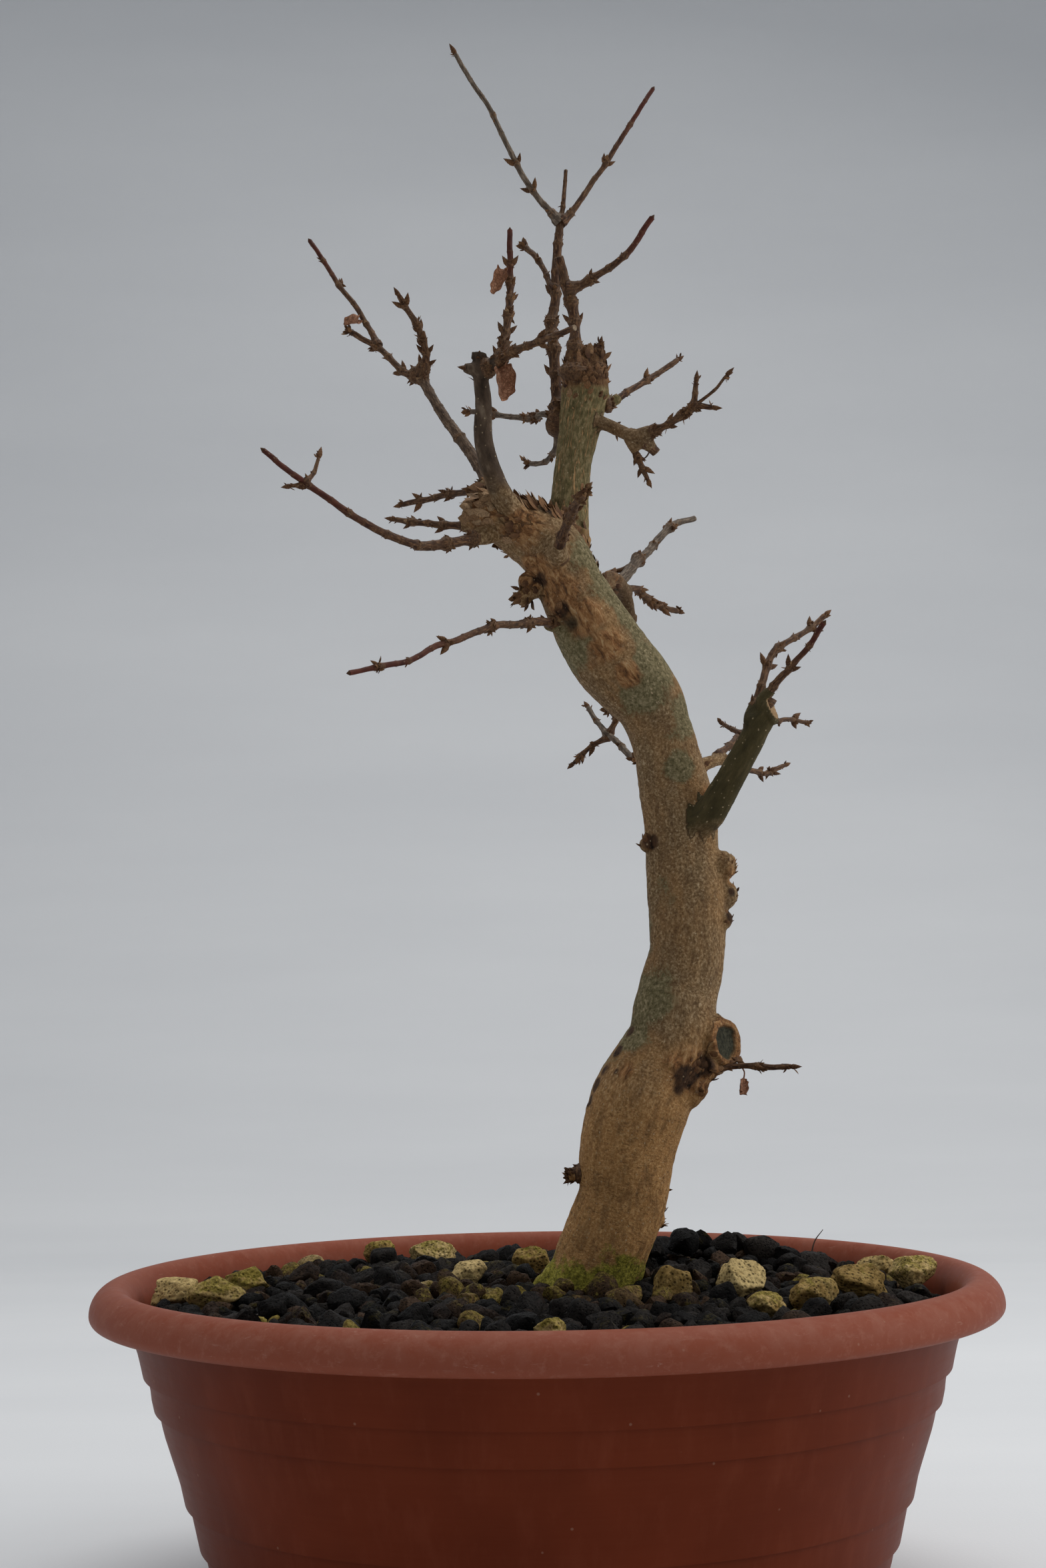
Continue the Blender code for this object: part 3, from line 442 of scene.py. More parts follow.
# Buds on bare wood: a place, the way each points, its length.
LONE_BUDS = (
    ((15.5, 8, 266), (-0.25, -0.2, 1.0), 4.2),
    ((13, 5, 264), (-0.8, -0.5, 0.7), 3.6),
    ((19, 6, 262), (0.8, -0.5, 0.6), 3.6),
    ((11, 8, 262), (-1.0, 0.1, 0.4), 3.8),
    ((20, 9, 260), (1.0, 0.3, 0.4), 3.4),
    ((-5.0, -6.5, 197), (-1.0, -0.4, 0.3), 2.6),
    ((-5.2, -5, 193.8), (-0.9, -0.1, -0.5), 2.6),
    ((7.2, -3.2, 33.4), (-0.8, -0.4, 0.6), 2.6),
    ((7.2, -2.8, 31.6), (-0.9, -0.2, -0.5), 2.6),
    ((33.0, -2, 28.1), (1.0, -0.1, 0.1), 2.6),
)
# Tufts of scales on the stout branches: the branch, and the share of the way along.
LIMB_TUFTS = (
    ("front_left", 0.62),
    ("front_left", 0.86),
    ("front_left", 0.98),
    ("main_right", 0.90),
    ("right_low", 0.55),
    ("right_low", 0.9),
)

# The pumice lumps, in the frame's order: how mossy, and how pale.
PUMICE_MOSS = (0.05, 0.50, 0.62, 0.36, 0.40, 0.0, 0.04, 0.42, 0.28, 0.20, 0.42, 0.16, 0.5, 0.35, 0.12)
PUMICE_TONE = (0.75, 0.60, 0.40, 0.30, 0.80, 0.95, 1.00, 0.55, 0.40, 0.28, 0.70, 0.55, 0.70, 0.20, 0.30)
# Each kind of grain: its finish's name, its dark, middle and light tones, and how mossy it is.
GRITS = {
    "black": (
        "black_lava",
        (0.0016, 0.0014, 0.0014),
        (0.0050, 0.0041, 0.0037),
        (0.0200, 0.0155, 0.0125),
        0.16,
    ),
    "brown": (
        "brown_lava",
        (0.0042, 0.0022, 0.0014),
        (0.0150, 0.0078, 0.0045),
        (0.0560, 0.0310, 0.0165),
        0.35,
    ),
    "ochre": (
        "ochre_grit",
        (0.0120, 0.0058, 0.0026),
        (0.0440, 0.0235, 0.0090),
        (0.1500, 0.0930, 0.0360),
        0.6,
    ),
    "tan": ("tan_grit", (0.0450, 0.0280, 0.0090), (0.1450, 0.0920, 0.0320), (0.3300, 0.2350, 0.1050), 0.7),
}
# Grains laid one by one right of the trunk and in front of it: x, y, size, lift.
MOUND = (
    (29.5, 16, 12.5, 5.5), (40, 21, 12.0, 4.5), (52, 25, 11.0, 3.0), (33, 27, 10.5, 1.0), (62, 27, 11.0, 3.0),
    (46, 33, 11.0, 1.0), (71, 22, 10.0, 2.0), (58, 12, 10.0, 1.0), (28, -13, 9.5, 0.5), (35, -6, 10.5, 1.5),
)
OCHRE = (
    (4, -17, 9.5, 1.2), (14, -21, 10.5, 1.2), (21, -27, 9.0, 0.6), (30, -22, 8.5, 0.8), (-6, -24, 8.0, 0.6),
    (9, -31, 9.0, 0.4), (38, -17, 9.5, 1.0), (-16, -15, 8.5, 0.5),
)
# The scattered grains: how many are tried, smallest, biggest, and how close they may lie.
GRADES = ((120, 9.0, 11.5, 0.84), (420, 7.0, 9.0, 0.78), (900, 5.2, 7.0, 0.74), (900, 3.8, 5.2, 0.70))
GRIT_REACH = 109.0

# The pot's wall, foot and lip, and how far below the top its bands step.
WALL = 2.6
FOOT = 87.5
LIP_DROP = 10.0
OVERHANG = 10.5
LIP_ROLL = 7.0
LIP_FALL = 7.5
LIP_EDGE = 2.5
BANDS = tuple(POT_TOP - drop for drop in (24.0, 33.0, 58.0, 70.0))

dice = random.Random(11)


# Numbers


def hashed(cells, seed):
    mixed = (
        cells[..., 0] * 73856093
    ) ^ (cells[..., 1] * 19349663) ^ (cells[..., 2] * 83492791) ^ (seed * 668265263)
    mixed &= 0xFFFFFFFF
    mixed = ((mixed ^ (mixed >> 15)) * 2246822519) & 0xFFFFFFFF
    mixed = ((mixed ^ (mixed >> 13)) * 3266489917) & 0xFFFFFFFF
    return ((mixed ^ (mixed >> 16)) & 0xFFFFFF) / 0xFFFFFF * 2.0 - 1.0


def lumps(points, size, seed=0):
    """Smooth noise from -1 to 1, whose bumps are about size long."""
    place = np.asarray(points, float) / size + 4096.0
    cell = np.floor(place).astype(np.int64)
    part = place - cell
    part = part * part * (3.0 - 2.0 * part)
    total = np.zeros(len(place))
    for corner in range(8):
        step = np.array([corner & 1, corner >> 1 & 1, corner >> 2 & 1])
        weight = np.prod(np.where(step, part, 1.0 - part), axis=1)
        total += weight * hashed(cell + step, seed)
    return total


def fractal(points, size, octaves=3, seed=0):
    total = np.zeros(len(points))
    for octave in range(octaves):
        total += lumps(points, size / 2**octave, seed + octave) / 2**octave
    return total


def blend(low, high, value):
    share = np.clip((value - low) / (high - low), 0.0, 1.0)
    return share * share * (3.0 - 2.0 * share)


def unit(vectors):
    vectors = np.asarray(vectors, float)
    return vectors / np.maximum(np.linalg.norm(vectors, axis=-1, keepdims=True), 1e-12)


def placed(row):
    """A table's point as millimetres in the frame."""
    return np.array([row[0], row[1], SOIL_LINE + row[2]], float)


def rounded(points, values, step):
    """A smooth curve through the points in short steps, and the values along it."""
    points = np.asarray(points, float)
    wide = np.vstack([2 * points[0] - points[1], points, 2 * points[-1] - points[-2]])
    path, along = [], []
    for i in range(len(points) - 1):
        a, b, c, d = wide[i : i + 4]
        count = max(2, int(math.ceil(np.linalg.norm(c - b) / step)))
        t = (np.arange(count) / count)[:, None]
        bend = (2 * a - 5 * b + 4 * c - d) * t * t + (3 * b - a - 3 * c + d) * t**3
        path.append(0.5 * (2 * b + (c - a) * t + bend))
        along.append(values[i] + (values[i + 1] - values[i]) * t[:, 0])
    path.append(points[-1:])
    along.append([values[-1]])
    return np.vstack(path), np.concatenate(along)


def frames(path):
    """Tangents and two cross directions that turn as little as they can."""
    ahead = unit(np.gradient(path, axis=0))
    side = np.zeros_like(path)
    start = np.cross(ahead[0], (0.0, 0.0, 1.0))
    if np.linalg.norm(start) < 0.2:
        start = np.cross(ahead[0], (1.0, 0.0, 0.0))
    side[0] = unit(start)
    for i in range(1, len(path)):
        side[i] = unit(side[i - 1] - ahead[i] * side[i - 1].dot(ahead[i]))
    return ahead, side, np.cross(ahead, side)


def lengths(path):
    return np.concatenate([[0.0], np.cumsum(np.linalg.norm(np.diff(path, axis=0), axis=1))])


def ring_faces(rings, sides):
    """The faces between closed rings of corners."""
    here = np.arange(rings - 1)[:, None] * sides
    turn = np.arange(sides)[None]
    after = (turn + 1) % sides
    quads = np.stack([here + turn, here + after, here + sides + after, here + sides + turn], axis=-1)
    return quads.reshape(-1, 4).tolist()


def capped_faces(rings, sides):
    """Ring faces and a fan at each end, whose two middle corners follow the rings."""
    first = rings * sides
    tail = first - sides
    faces = ring_faces(rings, sides)
    faces += [[first, (i + 1) % sides, i] for i in range(sides)]
    faces += [[first + 1, tail + i, tail + (i + 1) % sides] for i in range(sides)]
    return faces


def ball(subdivisions):
    """A unit ball's corners and faces."""
    made = bmesh.new()
    bmesh.ops.create_icosphere(made, subdivisions=subdivisions, radius=1.0)
    corners = np.array([v.co for v in made.verts])
    faces = [[v.index for v in face.verts] for face in made.faces]
    made.free()
    return corners, faces


def surface(mesh):
    """A mesh's corners in millimetres, and their normals."""
    points = np.zeros(len(mesh.vertices) * 3)
    normals = np.zeros(len(mesh.vertices) * 3)
    mesh.vertices.foreach_get("co", points)
    mesh.vertex_normals.foreach_get("vector", normals)
    return points.reshape(-1, 3) / MM, normals.reshape(-1, 3)


def sweep(path, wide, thick, sides):
    """A closed skin about a path. Returns its corners, faces, and each corner's grown place."""
    ahead, side, over = frames(path)
    angle = np.arange(sides) * 2 * math.pi / sides
    wide = np.broadcast_to(np.asarray(wide, float).reshape(len(path), -1), (len(path), sides))
    thick = np.broadcast_to(np.asarray(thick, float).reshape(len(path), -1), (len(path), sides))
    u = wide * np.cos(angle)
    w = thick * np.sin(angle)
    corners = path[:, None] + u[..., None] * side[:, None] + w[..., None] * over[:, None]
    run = np.broadcast_to(lengths(path)[:, None], u.shape)
    grown = np.stack([u, w, run], axis=-1).reshape(-1, 3)
    corners = np.vstack([corners.reshape(-1, 3), path[0], path[-1]])
    grown = np.vstack([grown, (0, 0, 0), (0, 0, run[-1, 0])])
    return corners, capped_faces(len(path), sides), grown


class Skin:
    """Gathers corners, faces and per-corner numbers, and makes one piece of them."""

    def __init__(self):
        self.corners, self.faces, self.marks, self.count = [], [], [], 0

    def add(self, corners, faces, **marks):
        base = self.count
        self.corners.append(np.asarray(corners, float))
        self.faces += [[base + i for i in face] for face in faces]
        self.marks.append(marks)
        self.count += len(corners)

    def piece(self, name, finish, sharp=None):
        mesh = bpy.data.meshes.new(name)
        mesh.from_pydata((np.vstack(self.corners) * MM).tolist(), [], self.faces)
        names = {key for marks in self.marks for key in marks}
        for key in sorted(names):
            values = []
            for corners, marks in zip(self.corners, self.marks):
                value = np.asarray(marks.get(key, (0.0, 0.0, 0.0) if key == "grown" else 0.0), float)
                shape = (len(corners), 3) if key == "grown" else (len(corners),)
                values.append(np.broadcast_to(value, shape))
            mark(mesh, key, np.concatenate(values))
        return dressed(name, mesh, finish, sharp)


def mark(mesh, key, values):
    kind = "FLOAT_VECTOR" if values.ndim == 2 else "FLOAT"
    layer = mesh.attributes.new(key, kind, "POINT")
    layer.data.foreach_set("vector" if values.ndim == 2 else "value", values.astype(np.float32).ravel())


def dressed(name, mesh, finish, sharp=None):
    mesh.materials.clear()
    mesh.materials.append(finish)
    mesh.shade_smooth()
    if sharp is not None:
        mesh.set_sharp_from_angle(angle=math.radians(sharp))
    piece = bpy.data.objects.new(name, mesh)
    bpy.context.scene.collection.objects.link(piece)
    return piece


# Finishes


class Finish:
    """A procedural material, written as short steps."""

    def __init__(self, name, roughness=0.8, specular=0.3):
        self.material = bpy.data.materials.new(name)
        self.material.use_nodes = True
        self.tree = self.material.node_tree
        self.shader = self.tree.nodes["Principled BSDF"]
        self.shader.inputs["Roughness"].default_value = roughness
        self.shader.inputs["Specular IOR Level"].default_value = specular

    def feed(self, socket, value):
        if isinstance(value, bpy.types.NodeSocket):
            self.tree.links.new(value, socket)
        elif isinstance(value, (tuple, list)) and socket.type == "RGBA" and len(value) == 3:
            socket.default_value = (*value, 1.0)
        else:
            socket.default_value = value

    def node(self, kind, **settings):
        made = self.tree.nodes.new(kind)
        for key, value in settings.items():
            setattr(made, key, value)
        return made

    def attribute(self, name, vector=False):
        made = self.node("ShaderNodeAttribute", attribute_name=name)
        return made.outputs["Vector" if vector else "Fac"]

    def place(self):
        return self.node("ShaderNodeTexCoord").outputs["Object"]

    def normal(self):
        return self.node("ShaderNodeNewGeometry").outputs["Normal"]

    def up(self):
        split = self.node("ShaderNodeSeparateXYZ")
        self.feed(split.inputs[0], self.normal())
        return split.outputs["Z"]

    def stretched(self, vector, factors):
        made = self.node("ShaderNodeMapping")
        self.feed(made.inputs["Vector"], vector)
        made.inputs["Scale"].default_value = factors
        return made.outputs[0]

    def noise(self, vector, size, detail=4.0, rough=0.6, distortion=0.0):
        """Noise whose features are about size millimetres long."""
        made = self.node("ShaderNodeTexNoise")
        self.feed(made.inputs["Vector"], vector)
        made.inputs["Scale"].default_value = 1.0 / (size * MM)
        made.inputs["Detail"].default_value = detail
        made.inputs["Roughness"].default_value = rough
        made.inputs["Distortion"].default_value = distortion
        return made.outputs["Fac"]

    def cells(self, vector, size, feature="F1"):
        made = self.node("ShaderNodeTexVoronoi", feature=feature)
        self.feed(made.inputs["Vector"], vector)
        made.inputs["Scale"].default_value = 1.0 / (size * MM)
        return made.outputs["Distance"]

    def ramp(self, value, *stops):
        """Maps a number through (place, result) stops; results are numbers or colours."""
        made = self.node("ShaderNodeValToRGB")
        self.feed(made.inputs[0], value)
        points = made.color_ramp.elements
        while len(points) < len(stops):
            points.new(0.5)
        for point, (place, result) in zip(points, stops):
            point.position = place
            colour = (result,) * 3 if isinstance(result, (int, float)) else result
            point.color = (*colour, 1.0)
        return made.outputs[0]

    def mix(self, share, first, second):
        made = self.node("ShaderNodeMix", data_type="RGBA")
        self.feed(made.inputs[0], share)
        self.feed(made.inputs[6], first)
        self.feed(made.inputs[7], second)
        return made.outputs[2]

    def reckon(self, kind, first, second=0.0):
        made = self.node("ShaderNodeMath", operation=kind)
        for socket, value in zip(made.inputs, (first, second)):
            self.feed(socket, value)
        return made.outputs[0]

    def times(self, first, second):
        return self.reckon("MULTIPLY", first, second)

    def plus(self, first, second):
        return self.reckon("ADD", first, second)

    def minus(self, first, second):
        return self.reckon("SUBTRACT", first, second)

    def ragged(self, share, noise, reach):
        """A share whose edge the noise breaks up, by up to half of reach either way."""
        return self.plus(share, self.times(self.minus(noise, 0.5), reach))

    def colour(self, value):
        self.feed(self.shader.inputs["Base Color"], value)

    def rough(self, value):
        self.feed(self.shader.inputs["Roughness"], value)

    def relief(self, height, depth):
        """Bump whose full height is depth millimetres; it stacks on any earlier relief."""
        made = self.node("ShaderNodeBump")
        made.inputs["Strength"].default_value = 1.0
        made.inputs["Distance"].default_value = depth * MM
        self.feed(made.inputs["Height"], height)
        earlier = self.shader.inputs["Normal"].links
        if earlier:
            self.feed(made.inputs["Normal"], earlier[0].from_socket)
        self.feed(self.shader.inputs["Normal"], made.outputs[0])


def bark_finish():
    """Trunk bark: sandy tan and grey mottling, algae, torn reddish patches, moss at the foot."""
    f = Finish("trunk_bark", 0.8, 0.18)
    grown = f.attribute("grown", vector=True)
    streaks = f.noise(f.stretched(grown, (1, 1, 0.40)), 2.6, 3, 0.6)
    wide = f.noise(f.stretched(grown, (1, 1, 0.45)), 13.0, 4, 0.6)
    fine = f.noise(f.stretched(grown, (1, 1, 0.95)), 0.75, 4, 0.72)
    ticks = f.noise(f.stretched(grown, (0.5, 0.5, 1.5)), 1.15, 4, 0.7)
    grain = f.noise(f.place(), 0.35, 3, 0.7)
    low = f.attribute("low")
    base = f.ramp(
        fine,
        (0.36, (0.095, 0.056, 0.026)),
        (0.49, (0.190, 0.120, 0.057)),
        (0.57, (0.290, 0.200, 0.105)),
        (0.70, (0.480, 0.370, 0.235)),
    )
    warm = f.ramp(
        fine, (0.34, (0.150, 0.076, 0.030)), (0.50, (0.265, 0.142, 0.055)), (0.68, (0.430, 0.265, 0.118))
    )
    foot = f.ramp(
        fine, (0.34, (0.290, 0.146, 0.050)), (0.50, (0.415, 0.217, 0.078)), (0.68, (0.590, 0.365, 0.155))
    )
    warmth = f.ramp(f.plus(wide, f.times(low, 0.22)), (0.44, 0.12), (0.66, 1.0))
    base = f.mix(f.times(warmth, 0.85), base, warm)
    base = f.mix(f.times(low, 0.9), base, foot)
    base = f.mix(f.ramp(streaks, (0.34, 0.45), (0.52, 0.0)), base, (0.085, 0.044, 0.019))
    ticked = f.times(f.ramp(ticks, (0.34, 0.6), (0.45, 0.0)), low)
    base = f.mix(ticked, base, (0.090, 0.042, 0.017))
    algae = f.ragged(f.attribute("algae"), fine, 1.7)
    reached = f.ramp(f.attribute("algae"), (0.0, 0.0), (0.25, 1.0))
    algae = f.times(f.ramp(algae, (0.34, 0.0), (0.72, 0.92)), reached)
    green = f.ramp(
        f.noise(f.place(), 1.0, 5, 0.75),
        (0.36, (0.058, 0.050, 0.020)),
        (0.50, (0.150, 0.126, 0.060)),
        (0.66, (0.330, 0.270, 0.155)),
    )
    coloured = f.mix(algae, base, green)
    torn = f.noise(f.stretched(grown, (1, 1, 0.4)), 1.5, 5, 0.72, 0.6)
    red = f.ramp(
        torn,
        (0.36, (0.055, 0.020, 0.008)),
        (0.48, (0.260, 0.110, 0.038)),
        (0.57, (0.430, 0.225, 0.090)),
        (0.69, (0.640, 0.430, 0.220)),
    )
    coloured = f.mix(f.times(f.attribute("wound"), 0.80), coloured, red)
    stained = f.ramp(torn, (0.36, (0.012, 0.006, 0.004)), (0.66, (0.110, 0.055, 0.026)))
    coloured = f.mix(f.attribute("dark"), coloured, stained)
    smooth_green = f.ramp(
        f.noise(f.stretched(grown, (1, 1, 0.3)), 2.2, 4, 0.6),
        (0.32, (0.034, 0.027, 0.010)),
        (0.58, (0.068, 0.052, 0.020)),
        (0.78, (0.120, 0.084, 0.038)),
    )
    coloured = f.mix(f.attribute("olive"), coloured, smooth_green)
    leader_green = f.ramp(
        f.noise(f.stretched(grown, (1, 1, 0.5)), 1.0, 5, 0.72),
        (0.34, (0.064, 0.054, 0.020)),
        (0.50, (0.152, 0.120, 0.050)),
        (0.66, (0.310, 0.230, 0.118)),
    )
    coloured = f.mix(f.attribute("leader"), coloured, leader_green)
    split = f.noise(f.stretched(grown, (1, 1, 0.10)), 2.0, 2, 0.5)
    crease = f.ramp(f.reckon("ABSOLUTE", f.minus(split, 0.5)), (0.004, 1.0), (0.016, 0.0))
    crease = f.times(crease, f.attribute("leader"))
    coloured = f.mix(f.times(crease, 0.92), coloured, (0.460, 0.270, 0.120))
    smooth_grey = f.ramp(
        streaks, (0.32, (0.034, 0.022, 0.014)), (0.56, (0.085, 0.056, 0.036)), (0.74, (0.190, 0.140, 0.095))
    )
    coloured = f.mix(f.attribute("greyish"), coloured, smooth_grey)
    flecks = f.ramp(f.cells(f.stretched(grown, (1, 1, 0.9)), 1.5), (0.09, 1.0), (0.18, 0.0))
    keep = f.ramp(f.noise(f.place(), 5.0, 2), (0.38, 0.15), (0.62, 0.85))
    coloured = f.mix(f.times(flecks, keep), coloured, (0.470, 0.360, 0.220))
    specks = f.ramp(f.cells(f.place(), 1.9), (0.07, 1.0), (0.16, 0.0))
    coloured = f.mix(f.times(specks, 0.45), coloured, (0.050, 0.028, 0.014))
    moss_colour = f.ramp(
        f.noise(f.place(), 0.9, 5, 0.75),
        (0.36, (0.042, 0.042, 0.004)),
        (0.50, (0.200, 0.186, 0.020)),
        (0.68, (0.460, 0.400, 0.072)),
    )
    moss_edge = f.ragged(f.attribute("moss"), f.noise(f.place(), 2.4, 5, 0.75), 1.7)
    coloured = f.mix(f.ramp(moss_edge, (0.34, 0.0), (0.66, 0.94)), coloured, moss_colour)
    rings = f.noise(f.place(), 0.8, 3)
    pale = f.ramp(rings, (0.35, (0.250, 0.145, 0.065)), (0.65, (0.420, 0.280, 0.150)))
    dark = f.ramp(rings, (0.35, (0.014, 0.014, 0.008)), (0.65, (0.060, 0.056, 0.034)))
    coloured = f.mix(f.attribute("pale_cut"), coloured, pale)
    # The dark cut colour also paints the hollow in the bark nearly black as painted shade.
    coloured = f.mix(f.attribute("dark_cut_and_hollow_shade"), coloured, dark)
    f.colour(coloured)
    f.relief(streaks, 0.30)
    f.relief(fine, 0.24)
    f.relief(f.times(ticks, low), 0.30)
    f.relief(f.times(torn, f.attribute("wound")), 0.8)
    f.relief(f.times(crease, -1.0), 0.22)
    f.relief(grain, 0.07)
    f.rough(f.ramp(fine, (0.3, 0.92), (0.7, 0.7)))
    return f.material


def twig_finish():
    """Young wood: dark brown with lenticels and fine fissures, red at young tips, or grey."""
    f = Finish("twig_bark", 0.66, 0.22)
    grown = f.attribute("grown", vector=True)
    streaks = f.noise(f.stretched(grown, (1, 1, 0.22)), 0.55, 4, 0.65)
    wide = f.noise(f.place(), 3.6, 3, 0.6)
    base = f.ramp(
        streaks, (0.34, (0.018, 0.007, 0.003)), (0.50, (0.068, 0.029, 0.013)), (0.68, (0.225, 0.116, 0.053))
    )
    base = f.mix(f.ramp(wide, (0.42, 0.0), (0.66, 0.5)), base, (0.115, 0.064, 0.032))
    grey = f.ramp(
        streaks, (0.34, (0.050, 0.034, 0.024)), (0.52, (0.125, 0.094, 0.068)), (0.70, (0.300, 0.240, 0.180))
    )
    coloured = f.mix(f.attribute("greyish"), base, grey)
    red = f.ramp(wide, (0.30, (0.042, 0.008, 0.005)), (0.70, (0.110, 0.024, 0.013)))
    coloured = f.mix(f.attribute("red"), coloured, red)
    scars = f.ramp(
        f.noise(f.place(), 0.7, 4, 0.7), (0.38, (0.028, 0.012, 0.006)), (0.66, (0.240, 0.130, 0.060))
    )
    coloured = f.mix(f.times(f.attribute("node"), 0.75), coloured, scars)
    dots = f.ramp(f.cells(f.stretched(grown, (1, 1, 0.55)), 0.95), (0.10, 1.0), (0.22, 0.0))
    coloured = f.mix(f.times(dots, 0.45), coloured, (0.300, 0.200, 0.120))
    cut = f.ramp(f.noise(f.place(), 0.4, 3), (0.30, (0.210, 0.140, 0.080)), (0.70, (0.420, 0.330, 0.220)))
    coloured = f.mix(f.attribute("pale_cut"), coloured, cut)
    f.colour(coloured)
    f.relief(streaks, 0.12)
    f.relief(dots, 0.05)
    f.relief(f.noise(f.place(), 0.25, 3, 0.7), 0.04)
    return f.material


def scale_finish():
    """Bud scales and torn bark: warm brown, paler at the edges."""
    f = Finish("bud_scales", 0.74, 0.18)
    tone = f.attribute("tone")
    grain = f.noise(f.place(), 0.35, 4, 0.7)
    base = f.ramp(
        tone,
        (0.0, (0.030, 0.011, 0.006)),
        (0.35, (0.100, 0.042, 0.017)),
        (0.65, (0.270, 0.132, 0.055)),
        (1.0, (0.560, 0.380, 0.215)),
    )
    edge = f.ramp(f.attribute("tip"), (0.35, 0.0), (1.0, 0.65))
    coloured = f.mix(edge, base, (0.260, 0.145, 0.066))
    coloured = f.mix(f.ramp(grain, (0.42, 0.55), (0.60, 0.0)), coloured, (0.040, 0.020, 0.012))
    f.colour(coloured)
    f.relief(grain, 0.08)
    return f.material


def pot_finish():
    """Terracotta-coloured plastic: satin, a lighter colour on the rim as a painted highlight and inside the
    bowl as painted light, dusty and scuffed on the rim, water marks on the wall.
    """
    f = Finish("terracotta_plastic", 0.58, 0.07)
    place = f.place()
    slow = f.noise(place, 34.0, 3, 0.5)
    base = f.ramp(slow, (0.35, (0.121, 0.0205, 0.0064)), (0.65, (0.148, 0.0258, 0.0084)))
    rings = f.noise(f.stretched(place, (0.05, 0.05, 1.0)), 1.1, 3, 0.6)
    base = f.mix(f.ramp(rings, (0.40, 0.0), (0.62, 0.03)), base, (0.260, 0.070, 0.032))
    # Painted light: the inside of the bowl is mixed towards a lighter red of the same plastic, standing in
    # for light on the inner wall.
    inside = f.ramp(f.attribute("inside"), (0.2, 0.0), (0.8, 0.8))
    base = f.mix(inside, base, (0.235, 0.058, 0.030))
    on_rim = f.attribute("rim")
    # Painted highlight: the rim is mixed towards a lighter red of the same plastic, standing in for light on
    # the rim.
    base = f.mix(f.times(on_rim, 0.88), base, (0.255, 0.070, 0.040))
    cloud = f.ramp(f.noise(place, 7.0, 6, 0.68, 0.4), (0.42, 0.0), (0.70, 0.85))
    dust = f.times(f.times(cloud, on_rim), f.ramp(f.up(), (0.05, 0.2), (0.75, 1.0)))
    base = f.mix(f.times(dust, 0.42), base, (0.360, 0.190, 0.145))
    edge = f.ramp(f.noise(place, 2.6, 5, 0.72), (0.52, 0.0), (0.70, 0.6))
    base = f.mix(f.times(edge, on_rim), base, (0.310, 0.120, 0.080))
    around = f.stretched(place, (1.0, 1.0, 0.22))
    runs = f.ramp(f.noise(around, 5.5, 5, 0.66), (0.50, 0.0), (0.78, 0.22))
    base = f.mix(f.times(runs, f.minus(1.0, on_rim)), base, (0.240, 0.060, 0.030))
    scuffs = f.ramp(f.noise(f.stretched(place, (0.5, 0.5, 3.0)), 3.4, 5, 0.75, 1.2), (0.62, 0.0), (0.71, 0.8))
    base = f.mix(f.times(f.times(scuffs, on_rim), 0.45), base, (0.460, 0.290, 0.230))
    dots = f.ramp(f.cells(place, 8.5), (0.030, 1.0), (0.055, 0.0))
    base = f.mix(f.times(dots, 0.30), base, (0.400, 0.240, 0.170))
    splash = f.ramp(f.noise(f.stretched(place, (1.0, 1.0, 0.5)), 2.6, 5, 0.72), (0.54, 0.0), (0.70, 0.75))
    base = f.mix(f.times(splash, f.attribute("soiled")), base, (0.070, 0.022, 0.011))
    f.colour(base)
    f.rough(f.ramp(f.plus(dust, f.times(rings, 0.3)), (0.05, 0.42), (0.9, 0.75)))
    f.relief(rings, 0.012)
    f.relief(f.noise(place, 0.7, 3, 0.6), 0.02)
    f.relief(f.noise(place, 16.0, 2, 0.5), 0.25)
    return f.material


def stone_finish(name, low, middle, high, moss, pit_size, pit_depth):
    """A stone: three tones that each stone mixes by its own number, pits darkened as painted shade, and moss
    on top.
    """
    f = Finish(name, 0.85, 0.10)
    place = f.attribute("grown", vector=True)
    tone = f.attribute("tone")
    grain = f.noise(place, 0.9, 5, 0.72)
    patches = f.noise(place, 3.0, 4, 0.65)
    mixed = f.plus(f.times(patches, 0.75), f.times(tone, 0.55))
    base = f.ramp(mixed, (0.28, low), (0.56, middle), (0.92, high))
    base = f.mix(f.ramp(grain, (0.36, 0.6), (0.52, 0.0)), base, tuple(0.35 * c for c in low))
    base = f.mix(f.ramp(grain, (0.58, 0.0), (0.76, 0.45)), base, tuple(min(1.0, 1.3 * c) for c in high))
    pits = f.cells(place, pit_size)
    # Painted shade: the middles of the pits are darkened towards the stone's low tone.
    base = f.mix(f.ramp(pits, (0.12, 0.75), (0.34, 0.0)), base, tuple(0.4 * c for c in low))
    green = f.ramp(
        grain, (0.34, (0.026, 0.021, 0.003)), (0.50, (0.165, 0.130, 0.015)), (0.68, (0.400, 0.310, 0.065))
    )
    cover = f.ragged(f.attribute("moss"), f.noise(place, 2.2, 4, 0.7), 1.6)
    base = f.mix(f.ramp(cover, (0.42, 0.0), (0.70, moss)), base, green)
    f.colour(base)
    f.rough(f.ramp(grain, (0.35, 0.92), (0.60, 0.55)))
    f.relief(f.ramp(pits, (0.0, 0.0), (0.42, 1.0)), pit_depth)
    f.relief(grain, 0.22)
    return f.material


def soil_finish():
    f = Finish("fine_grit", 0.95, 0.2)
    place = f.place()
    grain = f.noise(place, 0.8, 5, 0.7)
    base = f.ramp(
        grain, (0.30, (0.006, 0.005, 0.004)), (0.60, (0.022, 0.016, 0.012)), (0.80, (0.060, 0.040, 0.026))
    )
    f.colour(base)
    f.relief(f.cells(place, 1.6), 1.2)
    f.relief(grain, 0.4)
    return f.material


